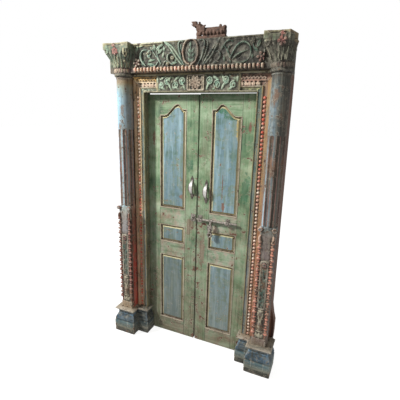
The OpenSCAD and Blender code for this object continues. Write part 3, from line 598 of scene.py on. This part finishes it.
finishes = {"stile": leaf_upright, "rail": leaf_across, "panel": panel_paint(),
            "moulding": moulding_paint(), "jamb": jamb_paint(), "side_post": post_wood, "handle": grip_iron}
for ending in ("bolt_bar", "bolt_keeper", "bolt_staple", "bolt_boss", "pivots", "shoe"):
    finishes[ending] = forged
for name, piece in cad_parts.items():
    piece.data.materials.clear()
    finish = [made for ending, made in finishes.items() if name.endswith(ending)] or [frieze_paint]
    piece.data.materials.append(finish[0])

# ------------------------------------------------------------------ frieze

FRIEZE_FRONT = LINTEL_Y - 1
oval_x, oval_z = -24, 2178
rim = [dot(-14, 2101, 8), dot(-30, 2251, 8)]
for side in (-1, 1):
    rim.append([(oval_x + side * 52 * math.sin(math.radians(a)) ** 0.8,
                 oval_z - 73 * math.cos(math.radians(a)), 6.5) for a in range(3, 181, 11)])
sprig = [[(-18, 2114, 3.5), (-22, 2160, 3), (-26, 2222, 2.5)]] + leaves((-25, 2204, 92, 34, 15))
for z, size in ((2116, 40), (2142, 42), (2170, 34)):
    sprig += leaves(*((-20, z, 90 - side * 44, size, 15, side * 7) for side in (-1, 1)))
green = feather(40, 13, (-1, 1), (-70, 2097), (-92, 2124), (-120, 2158), (-147, 2194), (-178, 2224),
                (-216, 2246))
green += feather(38, 13, (-1, 1), (66, 2098), (96, 2132), (124, 2168), (146, 2204), (164, 2236),
                 (172, 2250))
green += leaves(
    (-282, 2196, 100, 46, 22, 4), (-268, 2192, 60, 44, 22, -4), (-262, 2176, 34, 46, 20, 4),
    (-294, 2200, 148, 34, 16), (-346, 2176, -50, 50, 18, 4), (-336, 2134, 8, 52, 15),
    (-340, 2116, -6, 56, 15), (-384, 2112, 60, 30, 14), (-430, 2196, 70, 44, 22), (-410, 2226, 12, 52, 16),
    (-244, 2216, 40, 34, 16), (-226, 2152, 70, 36, 14, 4), (-210, 2192, 110, 30, 14),
    (-170, 2108, 12, 60, 16), (-136, 2120, 60, 34, 14), (104, 2112, 60, 44, 15, 4),
    (128, 2106, 10, 44, 12), (206, 2110, 100, 36, 14), (232, 2160, 130, 34, 13),
    (186, 2180, 80, 34, 13), (384, 2184, -42, 44, 15), (382, 2120, 110, 40, 14), (404, 2180, 62, 48, 20, 6),
    (446, 2170, -60, 50, 16, 6), (424, 2226, 170, 40, 13), (196, 2236, 10, 40, 12))
green += feather(34, 11, (1,), (256, 2118), (284, 2136), (316, 2154), (352, 2170))
green += feather(22, 11, (-1,), (264, 2112), (300, 2104), (336, 2112), (362, 2128))
# hooks beside the oval, then the swirls, then the stems
teal = strokes(
    (4, 7, 4, (-78, 2110), (-92, 2150), (-104, 2196), (-112, 2228), (-106, 2244), (-90, 2249), (-76, 2240)),
    (3, 4.5, 3, (-66, 2120), (-80, 2170), (-92, 2206), (-94, 2226)),
    (4, 7, 4, (28, 2098), (52, 2138), (66, 2180), (76, 2222), (70, 2244), (52, 2250), (36, 2240)),
    (3, 5, 3, (58, 2120), (80, 2164), (92, 2204), (96, 2226), (88, 2236)),
    (5, 9.5, 3, (-354, 2104), (-384, 2130), (-396, 2162), (-392, 2190), (-372, 2207), (-348, 2204)),
    (5, 8, 3, (-150, 2108), (-176, 2120), (-190, 2146), (-184, 2170), (-164, 2180), (-146, 2170)),
    (3, 5.5, 3, (-222, 2102), (-218, 2120), (-202, 2130), (-186, 2122)),
    (3, 5.5, 3, (-262, 2126), (-276, 2104), (-304, 2098), (-324, 2106)),
    (3, 6.5, 3, (146, 2168), (164, 2174), (178, 2158), (176, 2136), (160, 2122)),
    (4, 7, 3.5, (238, 2122), (254, 2156), (274, 2194), (302, 2215), (336, 2216), (362, 2194), (372, 2162),
     (362, 2130)),
    (3, 5.5, 3, (196, 2200), (210, 2222), (236, 2232), (256, 2220)),
    (3, 5, 2.5, (222, 2170), (232, 2196), (252, 2204)),
    (3, 4, 4, (-304, 2206), (-292, 2180), (-266, 2150), (-238, 2112)),
    (3, 3.5, 3.5, (-272, 2196), (-264, 2160), (-238, 2112)),
    (4, 4, 3, (244, 2104), (238, 2136), (220, 2176), (200, 2200)),
    (3, 4, 3, (378, 2206), (386, 2176), (404, 2156)),
    (3, 4, 3, (106, 2106), (124, 2126), (122, 2148)))
teal += curl(-330, 2186, 21, 250, 1.0, 4.5, False) + [dot(-330, 2186, 7)]
reds = flower(434, 2128, 30, 5) + flower(434, 2128, 19, 5) + flower(-424, 2126, 29, 5)
creams = flower(376, 2216, 15, 5) + [dot(-150, 2146, 12), dot(-188, 2112, 9), dot(-344, 2182, 6)]
creams += [[(-446, 2243, 6.5), (-330, 2243, 6.5), (-222, 2244, 6.5)],
           [(192, 2244, 6.5), (320, 2243, 6), (446, 2243, 6)],
           [(-446, 2231, 2.5), (-330, 2231, 2.5), (-240, 2232, 2.5)], [(206, 2231, 2.5), (446, 2231, 2.5)]]
tongues = [[(x, 2067, 3), (x, 2070, 9), (x, 2082, 9.5), (x, 2091, 9), (x, 2094, 7)]
           for x in (-442 + 26 * k for k in range(35))]


def scattered(count, x0, wide, z0, high, middle, clear, *size):
    """Small leaves scattered evenly over a field, clear of its middle."""
    lines = []
    for k in range(count):
        x, z = x0 + wide * ((k * SPREAD_X) % 1), z0 + high * ((k * SPREAD_Z) % 1)
        if abs(x - middle) > clear:
            lines += leaves((x, z, 20 + 137 * (k % 7), *size))
    return lines


def frieze_ground(p):
    base = blended(p[:, 2], (2064, 2092, 2098, 2120, 2190, 2215, 2236, 2240, 2250),
                   "#33201a #33201a #46382a #383328 #3a3b2f #59583f #7a7552 #766f4c #9a9068")
    return np.where((p[:, 1] > LINTEL_Y + 12)[:, None], tint("#5b4635"), base)


# Painted light and shade on the frieze: lighter at the left and on the dentils there, and a painted shadow
# over its right half.
def frieze_painted_light_and_shade(p):
    carved = np.interp(p[:, 0], [-450, -300, -150, -60, 30, 110, 450],
                       [1.15, 0.92, 0.86, 0.85, 0.28, 0.14, 0.18])
    toothed = np.interp(p[:, 0], [-450, -80, 50, 450], [1.5, 1.4, 0.62, 0.55])
    return np.where(p[:, 2] < 2096, toothed, carved)


def halves(lines, left, right):
    """The frieze's lines as two groups, left and right of PAINTED_SHADE_X, each in its colour."""
    return [(left, flat(FRIEZE_FRONT, [line for line in lines if line[0][0] < PAINTED_SHADE_X])),
            (right, flat(FRIEZE_FRONT, [line for line in lines if line[0][0] >= PAINTED_SHADE_X]))]


# strands on the frieze's right get brighter, more saturated colours, which the painted shadow then darkens
carve("frieze", "lintel", frieze_paint, 3.0, [
    ("#5a6350", flat(FRIEZE_FRONT + 2.5, scattered(150, -440, 880, 2102, 128, oval_x, 62, 20, 9))),
    *halves(green, "#7f9f86", "#86c8a4"), *halves(teal, "#4a7a6c", "#5cb898"),
    ("#6f9078", flat(LINTEL_Y, sprig)), ("#a37d66", flat(FRIEZE_FRONT, rim)),
    *halves(reds, "#7c3a34", "#e8705e"),
    ("#b9ad84", flat(LINTEL_Y, creams)), ("#dc9480", flat(LINTEL_Y, tongues[0::3])),
    ("#dca488", flat(LINTEL_Y, tongues[1::3])), ("#c08460", flat(LINTEL_Y, tongues[2::3]))],
    ground=frieze_ground, shave=LINTEL_Y + 0.4, smooth=1, shade=frieze_painted_light_and_shade)

# ------------------------------------------------------------------ head board

square = [[(x, 1950, 4.5), (x, 2044, 4.5)] for x in (-60, 56)]
square += [[(-60, z, 4.5), (56, z, 4.5)] for z in (1950, 2044)]
square += [[(x, 1960, 3), (x, 2034, 3)] for x in (-47, 43)]
board_curls, board_leaves = [], []
for side in (-1, 1):
    for dx, z, r, start, turns in ((96, 2010, 26, 250, 1.625), (152, 1984, 27, 70, 1.625),
                                   (208, 2012, 25, 250, 1.625), (258, 1982, 22, 70, 1.56)):
        board_curls += moved(curl(0, 0, r, start, turns, 3.8), BOARD_MIDDLE + side * dx, z, side)
    for dx, z, a, size in ((78, 1956, 64, 40), (124, 2036, -40, 40), (128, 1960, 24, 34),
                           (182, 1958, 60, 42), (182, 2038, -56, 40), (232, 2036, -30, 38),
                           (234, 1958, 30, 34), (284, 2004, 84, 36)):
        board_leaves += moved(leaves((0, 0, a, size, 13, 4)), BOARD_MIDDLE + side * dx, z, side)
zigzag = [[(side * (306 + 11 * k), 2012 + 20 * (k % 2), 3.4) for k in range(15)] for side in (-1, 1)]
teeth = [[(side * (300 + 15 * k), 1980, 5), (side * (300 + 15 * k), 1992, 5.5)]
         for side in (-1, 1) for k in range(9)]
edging = [[(side * 296, 1950, 3.5), (side * 296, 2044, 3.5)] for side in (-1, 1)]
edging += [[(x, z, w) for x in (-reach, 0, reach)] for reach, z, w in ((400, 1943, 3), (484, 2053, 4))]


def board_ground(p):
    middle = blended(np.abs(p[:, 0]), (0, 52, 64, 285, 300, 500),
                     "#54402f #54402f #393628 #3c3829 #8a7750 #8f8068")
    heights = (1938, 1944, 1962, 1966, 1974, 1998, 2004, 2040, 2064)
    left, right = (blended(p[:, 2], heights, codes) for codes in (
        "#b9b593 #b3b08a #8fa493 #a39d80 #6c5442 #a08c78 #c0ac90 #c89c4c #6a4e3a",
        "#9a9a74 #8c9470 #8a8a58 #7d6f52 #4c332a #7a5a4c #8a6656 #84604f #46302a"))
    # the left end is lightened as painted light, against the shade under the frieze
    lightened = np.interp(p[:, 0], [-440, -330], [1.8, 1.2])[:, None]
    ends = np.where((p[:, 0] > 0)[:, None], right * 1.5, left * lightened)
    face = np.where((np.abs(p[:, 0]) > 292)[:, None], ends, middle)
    return np.where((p[:, 1] > JAMB_Y + 14)[:, None], tint("#565a44"), face)


carve("over_door", "head", board_paint, 3.1, [
    ("#6d7a5e", flat(BOARD_Y + 1.5, scattered(96, -284, 568, 1954, 84, BOARD_MIDDLE, 66, 17, 8))),
    ("#a08f78", flat(BOARD_Y - 1, square)),
    ("#a48f7c", flat(BOARD_Y - 1, flower(BOARD_MIDDLE, 1997, 40, 8))),
    ("#7fa58e", flat(BOARD_Y - 1, board_curls)), ("#94b096", flat(BOARD_Y - 1, board_leaves)),
    ("#c4943c", flat(JAMB_Y, zigzag[:1])), ("#94695a", flat(JAMB_Y, zigzag[1:])),
    ("#c4a890", flat(JAMB_Y + 7, teeth)), ("#b5ab84", flat(JAMB_Y, edging))],
    ground=board_ground, shave=BOARD_Y + 0.4, smooth=1, shade=lambda p: np.full(len(p), 1.3))

# ------------------------------------------------------------------ capitals

for side, hand in ((-1, "left"), (1, "right")):
    left = side < 0
    body, sprays, veins, scrolls, pinks, pale, dark = [], [], [], [], [], [], []
    for a in range(-96, 96 if left else 44, 12):
        out = 1 + 0.34 * abs(math.sin(math.radians(2 * a))) ** 1.5 * (left or a <= 0)
        body.append(radial(a, (58, 2096, 6), (60, 2116, 12), (66 * (0.5 + 0.5 * out), 2146, 15),
                           (76 * out, 2178, 16), (84 * out, 2208, 16), (85 * out, 2232, 15)))
    for a in range(-88, 92 if left else 60, 16):
        sprays.append(radial(a, (64, 2096, 3), (73, 2112, 5.5), (80, 2134, 5.5), (88, 2156, 3.5),
                             (94, 2166, 2)))
        veins.append(radial(a + 8, (69, 2100, 2), (77, 2124, 3), (83, 2146, 2.5), (90, 2172, 2)))
    if left:
        # mirrored below: here the outer corner is at +45 and the inner corner at -45
        pale += turned(flower(0, 2196, 22, 6), 40, 116) + turned(leaves((-18, 2222, 15, 44, 22)), 42, 118)
        pinks += turned(flower(4, 2195, 23, 6) + flower(16, 2236, 14, 5), 0, 94)
        dark += turned([dot(-18, 2224, 12)], 0, 92)
        almond = strokes((3, 5.5, 3, (-2, 2156), (-13, 2182), (-9, 2208), (0, 2218)),
                         (3, 5.5, 3, (-2, 2156), (11, 2182), (9, 2208), (0, 2218)))
        brow = strokes((5, 8, 5, (-26, 2232), (-8, 2242), (16, 2240), (34, 2226)))
        scrolls += turned(almond + [dot(0, 2188, 5)], -38, 116) + turned(brow, -40, 116)
        scrolls += turned([dot(0, 2136, 7)], -38, 84)
    else:
        spiral = []
        for i in range(22):
            t, r = math.radians(100 + 30 * i), 29 * (1 - 0.036 * i)
            spiral.append((r * math.cos(t), 2198 + r * math.sin(t), 6.5 - 0.15 * i))
        scrolls += turned([spiral], -42, 112)
        pinks += turned(flower(4, 2192, 25, 5) + flower(2, 2235, 15, 5), 0, 94)
        reeds = strokes(*((3, 3, 2, (x * 0.9, 2098), (x * 1.1, 2124), (x * 0.6, 2154))
                          for x in (-22, -4, 14, 24)))
        edge = strokes((4, 5, 3, (-88, 2172), (-74, 2150), (-62, 2120), (-56, 2100)))
        pale += turned([dot(0, 2198, 9)], -42, 120) + turned(reeds, 6, 78) + turned(edge, 0, 60)
    flutes = [radial(a, (63, 2066, 3), (64, 2070, 7.5), (65, 2088, 7.5), (64, 2093, 4))
              for a in range(-88, 89, 13)]
    codes = ("#5f7561 #7f9578 #b3aa83 #bdb58e #8fa88f #a8625a #3d3a30 #a98478 #b3a084" if left else
             "#4f4f3e #6a7059 #7d8068 #5a513f #96967a #8c4a42 #3d3a30 #7a5a4c #8a7560")
    groups = [body, sprays, veins, scrolls, pale, pinks, dark, flutes[0::2], flutes[1::2]]
    if left:
        groups = [[[(-x, *rest) for x, *rest in line] for line in lines] for lines in groups]

    def capital_ground(p):
        # the dark ring at the foot is brown paint with painted shade under the bell
        base = blended(p[:, 2], (2036, 2062, 2066, 2094, 2100, 2180, 2215, 2240, 2250),
                       "#2a211b #30261e #3d2822 #46302a #4f5a46 #66775f #7d8a6c #a09a74 #a89e76")
        # the right capital is darkened to 0.62 as painted shade
        base = np.where((p[:, 1] > 0)[:, None], tint("#5a4636"), base * (0.62 if side > 0 else 1))
        # the right one is broken off at its outer side, down to striped bare wood
        broken = (side > 0) & (p[:, 0] > COLUMN_X + 34) & (p[:, 2] > 2100)
        stripe = np.where(np.sin(p[:, 0] * 0.9 + p[:, 1] * 0.5) > 0.3, 1.0, 0.62)[:, None]
        bare = blended(p[:, 2], (2100, 2160, 2250), "#4f3d2e #8a7048 #a08a66") * stripe
        return np.where(broken[:, None], bare, base)

    # painted shade growing towards the right, and painted light on the right capital's top
    def capital_painted_light_and_shade(p):
        top = np.where((p[:, 2] > 2195) & (p[:, 0] > 0), 2.5, 1.0)
        return top * np.interp(p[:, 0], [-600, -560, 480, 560], [1.0, 0.92, 0.44, 0.55])

    carve(hand + "_carved_capital", hand + "_capital", capital_paint, 3.0, list(zip(codes.split(), groups)),
          ground=capital_ground, shade=capital_painted_light_and_shade)

# ------------------------------------------------------------------ columns

for side, hand in ((-1, "left"), (1, "right")):
    left, middle = side < 0, side * COLUMN_X
    vine = strokes((3, 3, 2.5, (0, 526), (-9, 560), (8, 610), (-8, 660), (8, 710), (-6, 760), (0, 812)),
                   (2.5, 2.5, 2, (4, 526), (11, 580), (-6, 640), (10, 700), (-6, 760)))
    vine += leaves(*((*row, 17, 3) for row in (
        (-4, 556, 130, 34), (6, 570, 52, 38), (-6, 620, 118, 40), (6, 640, 62, 36), (-6, 690, 124, 36),
        (4, 716, 56, 46), (-4, 752, 116, 40), (2, 786, 60, 34), (-2, 796, 122, 30))))
    bud = [dot(0, 846, 12), dot(-7, 832, 5), dot(7, 832, 5)]
    vase = [dot(0, 376, 10), dot(0, 500, 9), dot(-11, 500, 6), dot(11, 500, 6)]
    vase += [[(-17, 440, 2.5), (0, 437, 3), (17, 440, 2.5)], [(-18, 340, 3), (0, 337, 4), (18, 340, 3)]]
    vase += leaves((-16, 288, 100, 40, 16), (16, 288, 80, 40, 16), (0, 284, 90, 46, 18))
    lines_up = [[(-16, 516, 3.5), (0, 514, 4), (16, 516, 3.5)],
                [(-22, 864, 2.5), (0, 872, 2.5), (22, 864, 2.5)]]
    reds, creams = [], []
    for s in (-1, 1):
        vase += strokes((3, 4, 4, (s * 9, 350), (s * 16, 372), (s * 6, 398), (s * 5, 430), (s * 15, 464),
                         (s * 16, 488)))
        lines_up += [[(s * 25, z, 2.5) for z in (524, 700, 862)]]
        for z in (STRING_Z + STRING_STEP * k for k in range(9)):
            reds += moved([[(-13, 3, 3), (-5, 2, 7.5), (5, 2, 7.5), (13, 3, 3)],
                           [(-9, 20, 2.5), (0, 22, 4), (9, 20, 2.5)],
                           [(-12, 42, 3), (-4, 40, 6.5), (4, 40, 6.5), (12, 42, 3)],
                           [(-8, 58, 2.5), (0, 60, 4), (8, 58, 2.5)]], s * STRING_X, z)
            creams += moved([[(-8, 11, 2), (0, 13, 3.5), (8, 11, 2)]], s * STRING_X, z)
        creams += strokes((7, 9, 6, (s * 38, 1000), (s * 48, 1020), (s * 44, 1046)))
        creams.append(dot(s * 47, 1088, 14))
    groups = [(code, flat(COLUMN_Y - COLUMN_R - lift, moved(lines, middle, 0))) for code, lines, lift in (
        ("#164a40" if left else "#33544a", vine, 0), ("#a4706a", bud, 5), ("#aba288", vase, 1),
        ("#7d1a0b" if left else "#cc6a4e", reds, 3), ("#8a3a22" if left else "#dcae94", creams, 1),
        ("#a59a88", lines_up, 1))]
    arris = [45 * k + 22.5 + edge for k in range(-2, 3) for edge in (-10.5, 10.5)]
    groups.append(("#7a4a40", [radial(a, *((COLUMN_R - 1.2, z, 1.8) for z in (1112, 1400, 1676)), cx=middle)
                               for a in arris if abs(a) < 88]))

    def column_ground(p):
        x, y, z = p.T
        turn = np.degrees(np.arctan2(x - middle, COLUMN_Y - y))
        # the right column's colours are darker overall, dirt and painted shade both
        if left:
            base = blended(z, (226, 300, 500, 700, 900, 1040, 1080, 1100, 1300, 1500, 1650, 1800, 1900,
                               1965, 2000, 2036),
                           "#b39a7c #a38c74 #8d7f76 #857c7a #8b8689 #9a9794 #8f9893 #85959a #8496a0 "
                           "#7f94a2 #84a2b2 #8cb2cc #8fb2c4 #94a296 #8f7448 #6a5036")
            side_light_shade_and_rust = blended(turn, (-90, -40, -10, 20, 50, 90),
                            "#98bcd2 #9fcdec #86adbc #7f8f8c #7d6e5e #744e3c")
        else:
            base = blended(z, (226, 300, 500, 700, 900, 1040, 1080, 1100, 1300, 1500, 1800, 1950, 2036),
                           "#8a7666 #806a62 #74645c #70605c #786866 #82766e #6d7470 #5a666a #5f6464 "
                           "#5c5f5a #60635a #5f6a66 #40402f")
            side_light_shade_and_rust = blended(turn, (-90, -48, -12, 6, 34, 60, 90),
                            "#a9c9da #bedcec #a2c2d4 #5c6c70 #4c4a44 #4a3226 #62341f")
        # on the upper shaft the colour follows the turn round the axis: the lit side lighter and the far
        # side darker, painted light and shade, with rust on the right column's far side
        share = ((z > 1100) * np.interp(z, [1100, 1930, 1990], [0.55, 0.55, 0.1]))[:, None]
        base = base * (1 - share) + side_light_shade_and_rust * share
        # the beaded strings, darker between the beads as painted shade, the red flank towards the opening,
        # its red brightened as painted light in its shade, and the dark field behind the vine
        out = np.abs(np.abs(x) - COLUMN_X)
        strings = (out > 30) & (z < 1000) & (z > 285) & (y < COLUMN_Y - 34)
        half = STRING_STEP / 2
        band = np.where(np.abs((z - STRING_Z + half) % STRING_STEP - half) < 17, 1.0, 0.55)[:, None]
        base = np.where(strings[:, None], tint("#8a2414" if left else "#d08468") * band, base)
        inward = (side * (middle - x) > 44) & (z < 1180) & (y > COLUMN_Y - 36)
        flank = blended(z, (226, 700, 1000, 1180), "#cc4630 #c2432f #8f5440 #7f7468")
        base = np.where(inward[:, None], flank, base)
        field = (out < 24) & (z < 862) & (z > 520) & (y < COLUMN_Y - 40)
        return np.where(field[:, None], tint("#1c1f1a"), base)

    # painted light and shade by height: the left column lighter, the right one lighter low and darker
    # towards the top
    def column_painted_light_and_shade(p):
        shades = (1.1, 1.8, 1.5, 1.15) if left else (1.05, 1.35, 0.85, 0.58)
        return np.interp(p[:, 2], [1000, 1130, 1400, 2036], shades)

    carve(hand + "_carved_column", hand + "_column", column_paint, 3.6, groups, ground=column_ground,
          smooth=1, uneven_mm=0.8, shade=column_painted_light_and_shade)

# ------------------------------------------------------------------ plinths


def plinth_ground(p):
    base = blended(p[:, 2], (0, 32, 38, 42, 48, 60, 100, 108, 112, 122, 150, 178, 188, 202, 207, 214, 226),
                   "#463a2a #524432 #8c8a7a #86867a #6a6a5e #64695f #4c6a72 #2f4a50 #2b464c #4f7288 "
                   "#547c9a #6c92ac #86929a #9a9088 #c8c0b6 #b4a89a #a0907a")
    drip = np.sin(p[:, 0] * 0.21) + np.sin(p[:, 0] * 0.57 + 1.0) + np.sin(p[:, 0] * 0.083 + 2.0)
    run = (drip > 1.75) & (p[:, 2] > 60) & (p[:, 2] < 215) & (p[:, 1] < 0)
    return np.where(run[:, None], base * 0.45 + tint("#b9bdb4") * 0.4, base)


# Painted light and shade on the plinths: the inner blocks darker, some bands of their mouldings lighter,
# and the right cap darker.
def plinth_painted_light_and_shade(p):
    inner = np.interp(p[:, 0], [-500, -475, -440, 440, 475, 500], [0.66, 0.4, 0.3, 0.6, 0.62, 0.66])
    inner *= np.interp(p[:, 2], [0, 40, 46, 108, 114, 165, 180, 202, 206],
                       [0.7, 0.75, 2.3, 2.1, 0.95, 0.95, 2.3, 2.6, 1.5])
    cap = (p[:, 2] > 205) & (np.abs(p[:, 0]) > 480)
    return np.where(cap, np.where(p[:, 0] > 0, 0.68, 0.98), inner)


for hand in ("left", "right"):
    carve(hand + "_worn_plinth", hand + "_plinth", plinth_paint, 3.6, ground=plinth_ground, uneven_mm=2.2,
          reach_mm=3.0, shade=plinth_painted_light_and_shade)

# ------------------------------------------------------------------ crest

fur = strokes((4, 8, 4, (64, 2330), (46, 2322), (34, 2306), (22, 2300)),
              (4, 5, 4, (-32, 2340), (-12, 2326), (6, 2332), (24, 2342)),
              (3, 4.5, 3, (8, 2312), (24, 2304), (36, 2312)))
fur += [dot(52, 2318, 8), dot(34, 2302, 12), dot(48, 2304, 11), dot(20, 2322, 12)]
petals = [[(28 + 23.5 * k, z, w) for z, w in ((2274, 4), (2286, 7.5), (2298, 4))] for k in range(7)]
carve("crest_animal", "crest", crest_wood, 1.8, [
    ("#6a4f3d", flat(-22, fur + petals)), ("#2a1e19", flat(-24, [dot(50, 2320, 5), dot(4, 2326, 3)]))],
    ground="#6a4f3d", smooth=1, uneven_mm=1.6)

# ------------------------------------------------------------------ hasp

# drawn from the middle of the hole at its foot
knots = [[(16 * math.cos(a / 6 * math.pi), 2 + 16 * math.sin(a / 6 * math.pi), 6) for a in range(13)],
         [(6, 96, 7), (4, 70, 12), (-2, 44, 13), (-4, 24, 9)], [(14, 72, 5), (18, 52, 9), (12, 32, 5)],
         [(-12, 74, 5), (-17, 54, 9), (-14, 34, 5)], dot(1, 56, 13)]
hasp_low, hasp_high = (1000 * np.array(corner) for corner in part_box("hasp"))
knots = moved(knots, (hasp_low[0] + hasp_high[0]) / 2, hasp_low[2] + 16)
carve("forged_hasp", "hasp", forged, 1.5, [("#8f877e", flat(hasp_low[1] + 1, knots))], ground="#8f877e",
      smooth=1, uneven_mm=0.8, spare_mm=13, body="hasp")

# ------------------------------------------------------------------ floor, light and camera

bpy.ops.mesh.primitive_plane_add(size=80, location=(0, 0, -0.001))
floor = bpy.context.active_object
floor.name = "floor"
# matt pale paint with a glow of its own, so that no shadow turns it dark
floor_paint, _, shader, _ = blank("plain_pale_floor", 0.9)
shader.inputs["Base Color"].default_value = linear("#a8a6a2")
shader.inputs["Emission Color"].default_value = linear("#ffffff")
shader.inputs["Emission Strength"].default_value = 0.88
floor.data.materials.append(floor_paint)
floor.visible_diffuse = False

scene = bpy.context.scene
scene.view_settings.view_transform = "Standard"
studio = bpy.data.worlds.new("studio")
studio.use_nodes = True
scene.world = studio
# white behind the door, and a soft light that grows stronger with height
tree = studio.node_tree
aim = node(tree, "SeparateXYZ", (node(tree, "TexCoord", out="Generated"),), out=2)
height = node(tree, "MapRange", (aim, -0.3, 0.5, 0.17, 0.42))
seen = node(tree, "LightPath", out="Is Camera Ray")
glow = node(tree, "Mix", {0: seen, 2: height, 3: 1.0}, data_type="FLOAT")
backdrop = tree.nodes["Background"].inputs
backdrop["Color"].default_value = linear("#ffffff")
tree.links.new(glow, backdrop["Strength"])

lamp = bpy.data.lights.new("key", "AREA")
lamp.size, lamp.energy = 0.45, 205
key = bpy.data.objects.new("key", lamp)
scene.collection.objects.link(key)
key.location = (-2.5, -2.1, 3.8)
key.rotation_euler = (Vector((0, 0, 1.3)) - key.location).to_track_quat("-Z", "Y").to_euler()

# the camera stands to the right at eye height, and looks a little down
camera = bpy.data.cameras.new("camera")
camera.lens, camera.sensor_width = 28.8, 36
camera.shift_x, camera.shift_y = 0.0033, 0.0011
eye = bpy.data.objects.new("camera", camera)
scene.collection.objects.link(eye)
turn, tilt, lean = math.radians(22.87), math.radians(-14.31), math.radians(1.5)
ahead = Vector((-math.sin(turn) * math.cos(tilt), math.cos(turn) * math.cos(tilt), math.sin(tilt)))
right = Vector((math.cos(turn), math.sin(turn), 0))
upward = right.cross(ahead)
across = math.cos(lean) * right + math.sin(lean) * upward
above = math.cos(lean) * upward - math.sin(lean) * right
facing = Matrix((across, above, -ahead)).transposed().to_4x4()
eye.matrix_world = Matrix.Translation((0.898, -2.042, 1.768)) @ facing
scene.camera = eye
